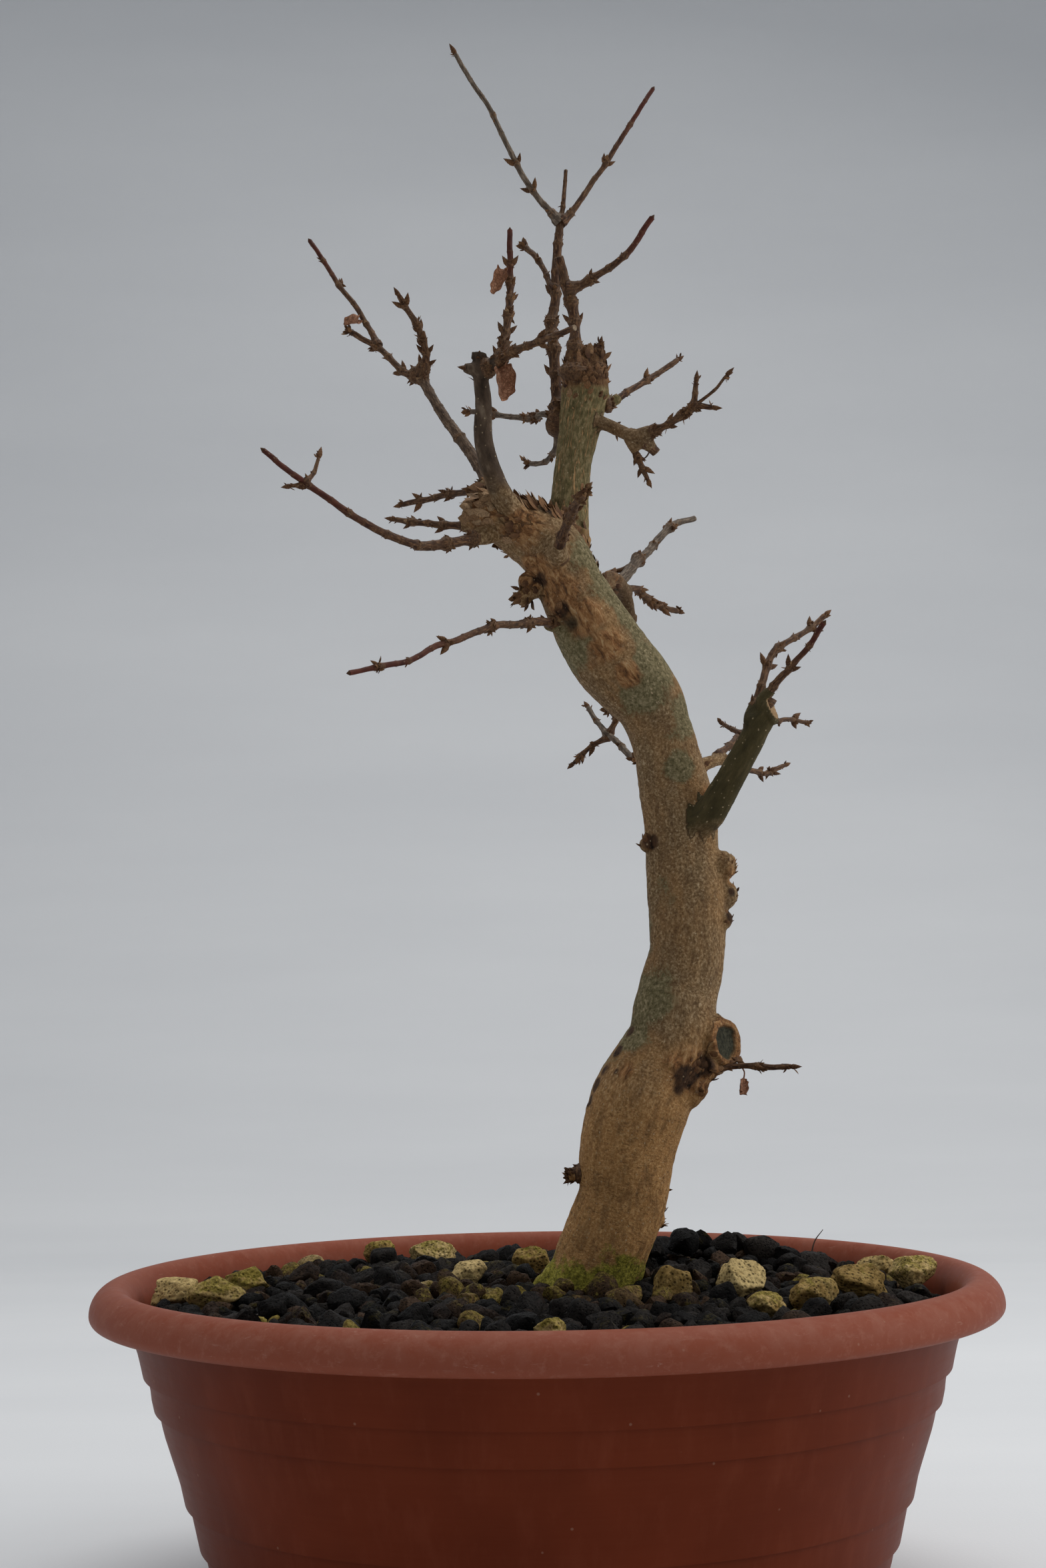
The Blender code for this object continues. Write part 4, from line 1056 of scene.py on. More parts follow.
def leaf_finish():
    f = Finish("dry_leaf", 0.66, 0.3)
    place = f.place()
    patches = f.noise(place, 1.4, 5, 0.65)
    base = f.ramp(
        patches, (0.30, (0.130, 0.048, 0.022)), (0.52, (0.330, 0.150, 0.078)), (0.75, (0.520, 0.290, 0.175))
    )
    veins = f.ramp(f.cells(place, 1.1, "DISTANCE_TO_EDGE"), (0.02, 0.7), (0.09, 0.0))
    f.colour(f.mix(veins, base, (0.150, 0.062, 0.030)))
    f.relief(patches, 0.2)
    f.relief(veins, 0.1)
    return f.material


def stalk_finish():
    f = Finish("dry_stalk", 0.6, 0.35)
    grown = f.attribute("grown", vector=True)
    streaks = f.noise(f.stretched(grown, (1, 1, 0.15)), 0.4, 4, 0.6)
    f.colour(f.ramp(streaks, (0.30, (0.030, 0.016, 0.010)), (0.70, (0.110, 0.062, 0.036))))
    f.relief(streaks, 0.08)
    return f.material


def floor_finish():
    f = Finish("pale_floor", 0.9, 0.2)
    place = f.place()
    cloth = f.noise(f.stretched(place, (0.25, 1.0, 1.0)), 160.0, 4, 0.5)
    f.colour(f.ramp(cloth, (0.3, (0.700, 0.712, 0.730)), (0.7, (0.755, 0.766, 0.780))))
    f.relief(f.noise(place, 1.2, 2, 0.5), 0.05)
    return f.material


# Tree


def nearest(route, point):
    best = route[0]
    for start, end in zip(route, route[1:]):
        along = end - start
        share = np.clip((point - start).dot(along) / along.dot(along), 0.0, 1.0)
        spot = start + along * share
        if np.linalg.norm(spot - point) < np.linalg.norm(best - point):
            best = spot
    return best


def branch_routes():
    """Each branch's points, starting on its parent's centre line, and its radii."""
    routes = {"trunk": [placed(row) for row in TRUNK], "leader": [placed(row) for row in LEADER]}
    radii = {"trunk": [row[3] for row in TRUNK], "leader": [row[3] for row in LEADER]}
    for name, (parent, first, last, points) in BRANCHES.items():
        route = [placed(point) for point in points]
        start = nearest(routes[parent], route[0])
        if np.linalg.norm(start - route[0]) > 0.5:
            route.insert(0, start)
        else:
            route[0] = start
        routes[name] = route
        radii[name] = np.linspace(first, last, len(route)).tolist()
    return routes, radii


ROUTES, RADII = branch_routes()


def course(name, step):
    """A limb's smooth centre line in short steps, and its radii."""
    return rounded(ROUTES[name], RADII[name], step)


def radius_on(name, point):
    """A limb's radius at the place of its centre line that is nearest to the point."""
    path, radii = course(name, 2.0)
    return radii[np.argmin(np.linalg.norm(path - point, axis=1))]


def domed(path, radii):
    """Adds a short round end to both ends of a path."""
    out, back = unit(path[-1] - path[-2]), unit(path[0] - path[1])
    turns = np.radians([30, 55, 75, 86])
    tail = path[-1] + out * radii[-1] * np.sin(turns)[:, None]
    head = path[0] + back * radii[0] * np.sin(turns)[::-1, None]
    path = np.vstack([head, path, tail])
    radii = np.concatenate([radii[0] * np.cos(turns)[::-1], radii, radii[-1] * np.cos(turns)])
    return path, radii


def wood_blank():
    """Trunk, leader, stout branches, burls, root flare and twig collars as one smooth skin."""
    skin = Skin()
    for name in LIMBS:
        path, radii = domed(*course(name, 1.5))
        skin.add(*sweep(path, radii, radii, 40)[:2])
    for name, (parent, first, _, _) in BRANCHES.items():
        if name in STOUT or parent not in LIMBS:
            continue
        path, _ = course(name, 0.5)
        run = lengths(path)
        inside = radius_on(parent, path[0])
        keep = run < inside + 3.0 * first
        rise = np.clip((run[keep] - inside * 0.6) / (inside * 0.4 + 3.0 * first), 0.0, 1.0)
        radii = first * (2.1 - 1.12 * rise**0.6)
        skin.add(*sweep(path[keep], radii, radii, 20)[:2])
    corners, faces = ball(3)
    for x, y, height, *halves in BURLS:
        skin.add(corners * halves + placed((x, y, height)), faces)
    foot = placed((11, 0.5, 8))
    for turn, reach, thick in FLARE:
        out = np.array([math.cos(math.radians(turn)), math.sin(math.radians(turn)), 0.0])
        points = [foot, foot + out * reach * 0.55 - (0, 0, 7), foot + out * reach - (0, 0, 18)]
        path, radii = rounded(points, [thick + 2.5, thick + 0.8, thick - 1.0], 1.0)
        skin.add(*sweep(path, radii, radii, 20)[:2])
    return skin.piece("wood_blank", bpy.data.materials.new("blank"))


def limb_samples():
    """Points on the limbs' plain skins, each point's limb and step, and the limbs' frames."""
    spots, facts, limbs = [], [], []
    angle = np.arange(16) * math.pi / 8
    for index, name in enumerate(LIMBS):
        path, radii = course(name, 0.8)
        ahead, side, over = frames(path)
        for i in range(len(path)):
            ring = path[i] + radii[i] * (np.cos(angle)[:, None] * side[i] + np.sin(angle)[:, None] * over[i])
            spots.append(ring)
            facts += [(index, i)] * len(angle)
        limbs.append((path, ahead, side, over, lengths(path)))
    return np.vstack(spots), facts, limbs


def near_any(points, spots, seed, low=0.28, high=0.62):
    """How much each point lies in the given spots, from 0 to 1, with ragged edges."""
    total = np.zeros(len(points))
    for x, y, height, reach in spots:
        away = np.linalg.norm(points - placed((x, y, height)), axis=1) / reach
        total = np.maximum(total, np.exp(-away * away))
    return blend(low, high, total + 0.22 * fractal(points, 5.0, 3, seed))


def build_wood(finish):
    """The stout wood: one closed skin with streaks, fissures, torn patches and sawn faces."""
    blank = wood_blank()
    remesh = blank.modifiers.new("one skin", "REMESH")
    remesh.mode = "VOXEL"
    remesh.voxel_size = 0.00046
    soft = blank.modifiers.new("soft", "SMOOTH")
    soft.factor = 0.5
    soft.iterations = 6
    graph = bpy.context.evaluated_depsgraph_get()
    mesh = bpy.data.meshes.new_from_object(blank.evaluated_get(graph))
    mesh.name = "stout_wood"
    bpy.data.objects.remove(blank)
    count = len(mesh.vertices)
    points, normals = surface(mesh)
    spots, facts, limbs = limb_samples()
    tree = KDTree(len(spots))
    for i, spot in enumerate(spots):
        tree.insert(spot, i)
    tree.balance()
    found = np.array([facts[tree.find(point)[1]] for point in points])
    grown = np.zeros((count, 3))
    for index, (path, ahead, side, over, run) in enumerate(limbs):
        mine = found[:, 0] == index
        at = found[mine, 1]
        off = points[mine] - path[at]
        grown[mine, 0] = np.einsum("ij,ij->i", off, side[at])
        grown[mine, 1] = np.einsum("ij,ij->i", off, over[at])
        grown[mine, 2] = run[at] + np.einsum("ij,ij->i", off, ahead[at]) + 400.0 * index
    limb = found[:, 0]
    height = points[:, 2] - SOIL_LINE
    on = {name: limb == index for index, name in enumerate(LIMBS)}
    leader = np.where(on["leader"], blend(208, 220, height + 2.5 * lumps(points, 5, 3)), 0.0)
    olive = np.where(on["main_right"], blend(124, 131, height + 2.0 * lumps(points, 4, 5)), 0.0)
    greyish = np.where(on["front_left"], blend(218, 228, height + 3 * lumps(points, 4, 7)), 0.0)
    greyish = np.maximum(greyish, np.where(on["right_low"], 0.35, 0.0))
    greyish = np.maximum(greyish, np.where(on["rear_stub"], 0.6, 0.0))
    wound = near_any(points, WOUNDS, 21, 0.22, 0.70)
    algae = near_any(points, ALGAE, 31, 0.02, 0.80) * (1.0 - wound)
    smooth_wood = np.maximum(olive, greyish)
    drawn = grown * (1.0, 1.0, 0.13)
    streaks = fractal(drawn, 2.6, 3, 41)
    moved = 0.42 * fractal(points, 17.0, 2, 61) * (1.0 - 0.6 * smooth_wood)
    moved += 0.20 * streaks * (1.0 - 0.7 * smooth_wood)
    moved += 0.09 * fractal(points, 1.7, 2, 71)
    ridges = 1.0 - 2.0 * np.abs(lumps(grown * (1.0, 1.0, 0.32), 2.6, 86))
    moved += wound * (
        0.60 * fractal(points, 3.4, 3, 81) + 0.26 * np.abs(lumps(points, 1.5, 85)) + 0.30 * ridges
    )
    moved -= 0.22 * blend(0.55, 0.85, lumps(grown * (1, 1, 0.6), 3.2, 91)) * (1.0 - smooth_wood)
    moved += blend(26, 4, height) * 0.45 * fractal(points, 4.5, 2, 95)
    points = points + normals * moved[:, None]
    centre, reach, depth = HOLE
    away = np.linalg.norm(points - placed(centre), axis=1) / reach
    points -= normals * (depth * np.exp(-away * away))[:, None]
    # The hollow is painted nearly black through the dark cut mark: painted shade in the hollow.
    marks = {"pale_cut": np.zeros(count), "dark_cut_and_hollow_shade": np.exp(-(away**4)) * 0.9}
    for spot, facing, reach, kind in CUTS:
        facing = unit(facing)
        off = points - placed(spot)
        beyond = off @ facing
        radial = np.linalg.norm(off - beyond[:, None] * facing, axis=1)
        wide = reach > BIG_CUT
        near = (radial < reach) | (on["low_stub"] & (radial < 14.0) & wide)
        cut = near & (beyond > 0.0) & (beyond < 9.0)
        points[cut] -= facing * (beyond[cut] * 0.97)[:, None]
        flat = near & (beyond > -0.05)
        if wide:
            edge = blend(5.2, 4.2, radial + 0.5 * lumps(points, 2.0, 77))
            marks[kind][flat] = edge[flat]
            wound[flat] = np.maximum(wound[flat], 1.0 - edge[flat])
            points[flat] += facing * (
                0.9 * blend(4.0, 5.4, radial[flat]) * blend(8.5, 6.4, radial[flat])
            )[:, None]
            points[flat] += facing * (0.25 * fractal(points[flat], 2.2, 3, 78))[:, None]
        else:
            marks[kind][flat] = 1.0
        rim = near & (beyond <= -0.05) & (beyond > -1.6)
        points[rim] += normals[rim] * 0.45
    mesh.vertices.foreach_set("co", (points * MM).ravel())
    moss = blend(17.0, 3.0, height + 3.5 * fractal(points, 6.0, 3, 99))
    low = blend(78.0, 40.0, height + 5.0 * fractal(points, 12.0, 2, 98))
    crown = blend(256.0, 259.0, height + 1.5 * lumps(points, 3.0, 97))
    leader *= 1.0 - crown
    wound = np.maximum(wound, crown)
    dark = np.maximum(near_any(points, STAINS, 37), 0.75 * crown)
    for key, values in (
        ("grown", grown * MM),
        ("leader", leader),
        ("olive", olive),
        ("greyish", greyish),
        ("wound", wound),
        ("algae", algae),
        ("moss", moss),
        ("low", low),
        ("dark", dark),
        *marks.items(),
    ):
        mark(mesh, key, values)
    mesh.update()
    return dressed("stout_wood", mesh, finish)


def blade(skin, root, ahead, face, size, tone, curl):
    """One pointed scale: a flattened, curved closed sliver."""
    sides = 8
    length, width, thick = size
    t = np.linspace(0.0, 1.0, 8)
    bend = curl * length * (t - 0.15) ** 2
    path = root + np.outer(t * length, ahead) + np.outer(bend, face)
    across = unit(np.cross(ahead, face))
    shape = np.sin(np.pi * np.clip(0.16 + 0.84 * t, 0, 1) ** 1.2)
    shape[-1] = 0.05
    angle = np.arange(sides) * 2 * math.pi / sides
    ring = (
        path[:, None]
        + (np.cos(angle) * width / 2 * shape[:, None])[..., None] * across
        + (np.sin(angle) * thick / 2 * np.sqrt(shape)[:, None])[..., None] * face
    )
    corners = np.vstack([ring.reshape(-1, 3), path[0], path[-1]])
    tip = np.concatenate([np.repeat(t, sides), [0.0, 1.0]])
    skin.add(corners, capped_faces(len(t), sides), tone=tone, tip=tip)


def bud(skin, root, ahead, length, width, tone):
    """A pointed bud wrapped in pairs of overlapping scales."""
    ahead = unit(ahead)
    side = unit(np.cross(ahead, (0.31, 0.52, 0.79)))
    over = np.cross(ahead, side)
    rings, sides = 20, 16
    t = np.linspace(0.0, 1.0, rings)[:, None]
    angle = (np.arange(sides) * 2 * math.pi / sides)[None]
    body = np.sin(np.pi * (0.12 + 0.88 * t) ** 0.72) ** 0.9 * (1.0 - 0.25 * t)
    row = t * 4.2 - 0.55 * np.abs(np.cos(angle))
    layer = np.floor(row)
    body = body * (1.0 + 0.17 * (row - layer))
    body[-1] = 0.04
    radius = width / 2 * body
    corners = (
        root
        + (t * length)[..., None] * ahead
        + (radius * np.cos(angle))[..., None] * side
        + (radius * np.sin(angle))[..., None] * over
    ).reshape(-1, 3)
    faces = ring_faces(rings, sides)
    faces.append([(rings - 1) * sides + j for j in range(sides)])
    faces.append([sides - 1 - j for j in range(sides)])
    shade = (row - layer).ravel() * 0.9
    skin.add(corners, faces, tone=tone, tip=shade)


def around(axis, turn):
    """A direction square to the axis."""
    side = unit(np.cross(axis, (0.21, 0.35, 0.91)))
    return side * math.cos(turn) + np.cross(axis, side) * math.sin(turn)


def tuft(skin, spot, axis, radius, count, length, tone=0.4):
    """Scruffy scales that stand off a node, as last year's bud scales do."""
    for _ in range(count):
        out = around(axis, dice.uniform(0.0, 6.283))
        ahead = out * dice.uniform(0.25, 0.75)
        ahead = unit(ahead + axis * dice.uniform(0.45, 1.1) * (1 if dice.random() < 0.85 else -0.5))
        root = spot + out * radius * 0.6 + axis * dice.uniform(-1.3, 0.9)
        long = length * dice.uniform(0.55, 1.25)
        size = (long, long * dice.uniform(0.5, 0.8), 0.28)
        shade = min(1.0, max(0.0, dice.gauss(tone, 0.16)))
        blade(skin, root, ahead, out, size, shade, dice.uniform(-0.25, 0.5))


# How much each kind of stop swells the twig, and over what length; s is a plain scar.
SWELLS = {"n": (0.30, 0.75), "b": (0.42, 1.0), "c": (0.62, 1.5), "s": (0.12, 0.35)}


def twig(name, skin, scales):
    """One twig with ringed nodes, buds, scales, and its own kind of end."""
    path, radii = course(name, 0.42)
    run = lengths(path)
    total = run[-1]
    parent, first, _, _ = BRANCHES[name]
    inside = radius_on(parent, path[0])
    rise = blend(inside, inside + 8.0, run)[:, None]
    seed = sum(ord(letter) for letter in name)
    sway = np.stack(
        [lumps(np.stack([run, run * 0, run * 0 + k * 31], 1), 8.0, seed) for k in range(3)], axis=1
    )
    path = path + sway * rise * 0.42 * blend(total, total - 6.0, run)[:, None]
    sides = 16
    angle = np.arange(sides) * 2 * math.pi / sides
    width = radii[:, None] * np.ones((1, sides))
    width *= 0.82 + 0.80 * np.exp(-np.clip(run - inside, 0, None) / (1.1 * first))[:, None]
    ring = np.stack(
        [part + 0 * width for part in (np.cos(angle) * 1.4, np.sin(angle) * 1.4, run[:, None] * 0.5)], axis=-1
    )
    rough = fractal(ring.reshape(-1, 3), 1.1, 3, seed + 7).reshape(width.shape)
    width *= 1.0 + 0.09 * rough
    noded = np.zeros(len(path))
    end = next((kind for kind, names in ENDS.items() if name in names), "t")
    ahead = unit(np.gradient(path, axis=0))
    turn = dice.uniform(0.0, 3.14)
    stops = list(ALONG[name])
    taken = [share for share, _ in stops]
    for share in np.arange(0.12, 0.96, max(0.05, 6.0 / total)):
        clear = all(abs(share - other) > 3.2 / total for other in taken)
        if clear and share * total > inside + 1.0:
            stops.append((share, "s"))
    covered = False
    swollen = np.zeros(len(path))
    for share, kind in stops:
        at = share * total
        if at < inside + 0.4:
            if covered:
                continue
            at, covered = inside + 0.6, True
        i = int(np.argmin(np.abs(run - at)))
        swell, long = SWELLS[kind]
        bump = np.exp(-(((run - run[i]) / long) ** 2))
        lines = 0.5 + 0.5 * np.cos((run - run[i]) * 2 * math.pi / 0.95)
        swollen = np.maximum(swollen, swell * bump * (0.72 + 0.28 * lines))
        noded = np.maximum(noded, bump * (0.4 if kind == "s" else 1.0))
        turn += math.pi / 2
        axis = ahead[i]
        girth = width[i].mean() * (1.0 + 0.8 * swell)
        if kind in "bc":
            for half in (0.0, math.pi) if kind == "b" else (0.0, 1.3, math.pi, 4.6):
                if dice.random() < 0.16:
                    continue
                out = around(axis, turn + half)
                if kind == "b":
                    out = unit(np.cross(axis, (0.0, 1.0, 0.0)) * math.cos(half) + 0.35 * out)
                lean = unit(out * dice.uniform(0.55, 0.9) + axis)
                root = path[i] + out * girth * 0.65
                if kind == "c":
                    root = root + axis * dice.uniform(-1.6, 0.6)
                size = dice.uniform(2.7, 3.9) * (1.0 if kind == "b" else 0.72)
                bud(scales, root, lean, size, size * 0.44, dice.uniform(0.22, 0.5))
        if kind == "c":
            tuft(scales, path[i], axis, girth, dice.randint(14, 20), 1.45, dice.uniform(0.3, 0.55))
        elif kind == "b":
            tuft(scales, path[i], axis, girth, 6, 1.6)
        elif kind == "n":
            tuft(scales, path[i], axis, girth, dice.choice((3, 4, 5)), 1.2)
    width *= 1.0 + swollen[:, None]
    grey = 0.9 if name in GREY_TWIGS else 0.0
    if name == "left_rear":
        grey = 0.45
    red = blend(0.45, 0.85, run / total) * 0.9 if end == "r" else 0.0 * run
    tipward = ahead[-1]
    if end in "tx":
        shrink = blend(total, total - 1.6, run)
        width *= (0.45 + 0.55 * shrink)[:, None]
    corners, faces, grown = sweep(path, width, width, sides)
    marks = {}
    for key, values in (("red", red), ("node", noded)):
        marks[key] = np.concatenate([np.repeat(values, sides), values[[0, -1]]])
    pale = np.zeros(len(corners))
    if end == "k":
        pale[-1] = 1.0
        pale[-2 - sides : -2] = 0.55
        corners[-1] -= tipward * 0.15
    elif end == "r":
        pale[-1] = 0.5
    marks["pale_cut"] = pale
    skin.add(corners, faces, grown=(grown + (0, 0, seed)) * MM, greyish=grey, **marks)
    if end == "t":
        size = dice.uniform(2.8, 3.8)
        bud(scales, path[-1] - tipward * 1.0, tipward, size, max(1.35, size * 0.42), dice.uniform(0.25, 0.5))
        tuft(scales, path[-1] - tipward * 0.8, tipward, radii[-1], 4, 1.5)
    elif end == "x":
        bud(scales, path[-1] - tipward * 1.0, tipward, 2.6, 1.4, 0.35)
        tuft(scales, path[-1] - tipward * 0.6, tipward, radii[-1], 14, 2.2, 0.42)
    elif end == "r":
        bud(scales, path[-1] - tipward * 0.5, tipward, 1.5, 1.15, 0.12)


def torn_bark(wood, scales):
    """Ragged scales and curls on the wounds, and the scaly crown of the leader."""
    points, normals = surface(wood.data)
    for spot, reach, number, length, tone, lie in TORN:
        off = np.linalg.norm(points - placed(spot), axis=1)
        close = np.flatnonzero(off < reach)
        if not len(close):
            continue
        lie = unit(lie)
        for _ in range(number):
            i = int(close[dice.randrange(len(close))])
            normal = normals[i]
            along = lie - normal * lie.dot(normal)
            along = unit(along + 0.5 * np.array([dice.uniform(-1, 1) for _ in range(3)]))
            lift = normal * dice.uniform(0.0, 0.36) * (1.0 if 2.6 < length < 4.0 else 1.9)
            ahead = unit(along - normal * along.dot(normal) + lift)
            face = unit(normal - ahead * normal.dot(ahead))
            long = length * dice.uniform(0.5, 1.35)
            size = (long, long * dice.uniform(0.42, 0.85), 0.26)
            shade = min(1.0, max(0.0, dice.gauss(tone, 0.18)))
            blade(scales, points[i] - normal * 0.2, ahead, face, size, shade, dice.uniform(-0.30, 0.35))
    for spot, ahead, long in LONE_BUDS:
        bud(scales, placed(spot), np.array(ahead, float), long, long * 0.42, dice.uniform(0.2, 0.45))


def build_tree():
    wood = build_wood(bark_finish())
    twigs, scales = Skin(), Skin()
    for name in BRANCHES:
        if name not in STOUT:
            twig(name, twigs, scales)
    for name, at in LIMB_TUFTS:
        path, radii = course(name, 0.5)
        i = int(at * (len(path) - 1))
        ahead = unit(path[i] - path[i - 1])
        tuft(scales, path[i], ahead, radii[i] * 1.15, 5, 1.7)
    torn_bark(wood, scales)
    young = twigs.piece("twigs", twig_finish(), 60)
    dry = scales.piece("buds_and_scales", scale_finish(), 55)
    for piece in (wood, young, dry):
        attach(piece, "root")
    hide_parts("tree")


# Pot


def pot_section():
    """The pot's section as (radius, height, inside, rim, soiled), from floor over rim to foot."""
    neck_height = POT_TOP - LIP_DROP
    neck = RIM_RADIUS - OVERHANG

    def wall(height):
        return FOOT + (neck - FOOT) * height / neck_height

    rows = [
        (0.0, 4.6, 1, 0, 1),
        (40.0, 4.6, 1, 0, 1),
        (wall(4.6) - 6.4, 4.6, 1, 0, 1),
        (wall(6.0) - 3.6, 5.8, 1, 0, 1),
    ]
    for height in np.arange(9.2, neck_height, 4.0):
        rows.append((wall(height) - WALL, height, 1, 0, float(height > POT_TOP - 16.0)))
    inner = wall(neck_height) - WALL
    crest = RIM_RADIUS - LIP_ROLL
    for share in np.linspace(0.0, 1.0, 12):
        turn = share * math.pi / 2
        radius = inner + (crest - inner) * (1 - math.cos(turn))
        rows.append((radius, neck_height + LIP_DROP * math.sin(turn), 1 - share, share, 0.6 * (1 - share)))
    for share in np.linspace(0.06, 1.0, 16):
        turn = share * math.pi / 2
        rows.append(
            (crest + LIP_ROLL * math.sin(turn), POT_TOP - LIP_FALL + LIP_FALL * math.cos(turn), 0, 1, 0)
        )
    edge = (RIM_RADIUS - LIP_EDGE, POT_TOP - LIP_FALL)
    for turn in np.radians(np.linspace(-12, -90, 8)):
        rows.append((edge[0] + LIP_EDGE * math.cos(turn), edge[1] + LIP_EDGE * math.sin(turn), 0, 1, 0))
    rows.append((neck + 3.0, neck_height + 0.1, 0, 0.4, 0))
    rows.append((neck + 0.6, neck_height - 0.15, 0, 0.1, 0))
    rows.append((neck - 0.2, neck_height - 1.0, 0, 0, 0))
    heights = list(np.arange(neck_height - 2.5, 3.2, -2.5))
    heights = [height for height in heights if all(abs(height - band) > 1.4 for band in BANDS)]
    heights += [band + step for band in BANDS for step in (1.2, 0.45, 0.14, 0.06, -0.35, -1.1)]
    for height in sorted(heights, reverse=True):
        offset = 0.0
        for band in BANDS:
            away = height - band
            if abs(away) < 6.0:
                offset += 0.62 * (1 - abs(away) / 6.0) * (1.0 if away > 0.1 else -1.0)
        rows.append((wall(height) + offset, height, 0, 0, 0))
    centre = (FOOT - 2.5, 2.5)
    for turn in np.radians(np.linspace(0, -90, 6)):
        rows.append((centre[0] + 2.5 * math.cos(turn), centre[1] + 2.5 * math.sin(turn), 0, 0, 0))
    rows += [
        (FOOT - 9.0, 0.0, 0, 0, 0),
        (FOOT - 10.6, 1.6, 0, 0, 0),
        (60.0, 1.6, 0, 0, 0),
        (40.0, 1.6, 0, 0, 0),
        (0.0, 1.6, 0, 0, 0),
    ]
    return rows


def build_pot():
    rows = pot_section()
    turns = 256
    angle = np.arange(turns) * 2 * math.pi / turns
    ring = np.stack([np.cos(angle), np.sin(angle)], axis=-1)
    corners, faces, marks = [], [], {"inside": [], "rim": [], "soiled": []}
    starts = []
    for radius, height, *values in rows:
        starts.append(sum(len(c) for c in corners))
        if radius == 0:
            spots = np.array([[0.0, 0.0, height]])
        else:
            spots = np.column_stack([ring * radius, np.full(turns, height)])
        corners.append(spots)
        for key, value in zip(marks, values):
            marks[key] += [value] * len(spots)
    for (first, second), (a, b) in zip(zip(starts, starts[1:]), zip(corners, corners[1:])):
        for i in range(turns):
            j = (i + 1) % turns
            if len(a) == 1:
                faces.append([first, second + i, second + j])
            elif len(b) == 1:
                faces.append([first + j, first + i, second])
            else:
                faces.append([first + j, first + i, second + i, second + j])
    skin = Skin()
    corners = np.vstack(corners)
    ripple = lumps(np.column_stack([corners[:, :2] * 0.5, corners[:, 2] * 0.2]), 22.0, 5) * 0.12
    corners[:, :2] *= 1.0 + (ripple / RIM_RADIUS)[:, None]
    skin.add(corners, faces, **{key: np.array(values, float) for key, values in marks.items()})
    pot = skin.piece("bowl", pot_finish())
    drills = []
    for i in range(6):
        turn = 2 * math.pi * i / 6
        hole = bmesh.new()
        bmesh.ops.create_cone(
            hole, cap_ends=True, segments=40, radius1=4.5 * MM, radius2=4.5 * MM, depth=16 * MM
        )
        bmesh.ops.translate(
            hole, vec=(52 * MM * math.cos(turn), 52 * MM * math.sin(turn), 3 * MM), verts=hole.verts
        )
        mesh = bpy.data.meshes.new("drill")
        hole.to_mesh(mesh)
        hole.free()
        drill = bpy.data.objects.new("drill", mesh)
        bpy.context.scene.collection.objects.link(drill)
        drills.append(drill)
        cut = pot.modifiers.new("drain", "BOOLEAN")
        cut.operation = "DIFFERENCE"
        cut.object = drill
        cut.solver = "EXACT"
    graph = bpy.context.evaluated_depsgraph_get()
    mesh = bpy.data.meshes.new_from_object(pot.evaluated_get(graph))
    pot.modifiers.clear()
    pot.data = mesh
    for drill in drills:
        bpy.data.objects.remove(drill)
    mesh.shade_smooth()
    mesh.set_sharp_from_angle(angle=math.radians(38))
    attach(pot, "root")
    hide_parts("pot")


# Stones


def stone_shape(subdivisions, seed, facets=13, bite=0.42, bumps=0.05, pits=0.0):
    """A lump about one unit across: a ball with worn flat faces, dents and pits."""
    corners, faces = ball(subdivisions)
    mine = random.Random(seed)
    radius = np.ones(len(corners))
    for _ in range(facets):
        facing = unit([mine.gauss(0, 1) for _ in range(3)])
        limit = 1.0 - mine.uniform(0.3, 1.0) * bite
        reach = corners @ facing
        flat = np.where(reach > 0.05, limit / np.maximum(reach, 0.05), 9.0)
        radius = -np.log(np.exp(-34 * radius) + np.exp(-34 * np.minimum(flat, 3.0))) / 34
    shift = np.array([seed * 3.1, seed * 1.7, seed * 0.9])
    radius *= 1.0 + bumps * fractal(corners + shift, 0.55, 3, seed)
    if pits:
        dents = blend(0.35, 0.8, lumps(corners + shift, 0.24, seed + 50))
        dents += 0.6 * blend(0.4, 0.8, lumps(corners + shift, 0.13, seed + 60))
        radius *= 1.0 - pits * dents
    corners = corners * radius[:, None]
    return corners / (corners.max(axis=0) - corners.min(axis=0)).max(), faces


def turned(corners, spin):
    return corners @ np.array(Euler(spin).to_matrix()).T


def soil_under():
    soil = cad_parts["substrate"].data
    return BVHTree.FromPolygons([v.co for v in soil.vertices], [p.vertices[:] for p in soil.polygons])


GROUND = soil_under()


def ground_height(x, y):
    """Height of the soil's top at a place, in millimetres, or None over the trunk's foot."""
    hit = GROUND.ray_cast(Vector((x * MM, y * MM, 1.0)), Vector((0.0, 0.0, -1.0)))[0]
    if hit is None or hit.z < POT_HIGH.z - 14 * MM:
        return None
    return hit.z / MM


def build_pumice():
    """The pale lumps, one for each that the frame holds, pitted and mossy."""
    finish = stone_finish(
        "mossy_pumice", (0.085, 0.048, 0.012), (0.290, 0.185, 0.058), (0.620, 0.460, 0.205), 0.85, 1.1, 0.5,
    )
    for i, (mossy, pale) in enumerate(zip(PUMICE_MOSS, PUMICE_TONE), start=1):
        node = f"pumice_lump_{i:02d}"
        low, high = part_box(node)
        middle = np.array((low + high) / 2) / MM
        size = np.array(high - low) / MM
        corners, faces = stone_shape(5, 300 + i, 12, 0.44, 0.10, 0.07)
        corners = corners / (corners.max(axis=0) - corners.min(axis=0)) * size * 1.14
        corners = corners - (corners.max(axis=0) + corners.min(axis=0)) / 2
        skin = Skin()
        facing = unit(corners)[:, 2]
        moss = np.clip(mossy + 0.30 * facing, 0, 1)
        skin.add(corners + middle + (0, 0, 1.1), faces, grown=(corners + 40.0 * i) * MM, tone=pale, moss=moss)
        piece = skin.piece(f"pumice_{i:02d}", finish)
        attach(piece, "root")
        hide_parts(node)


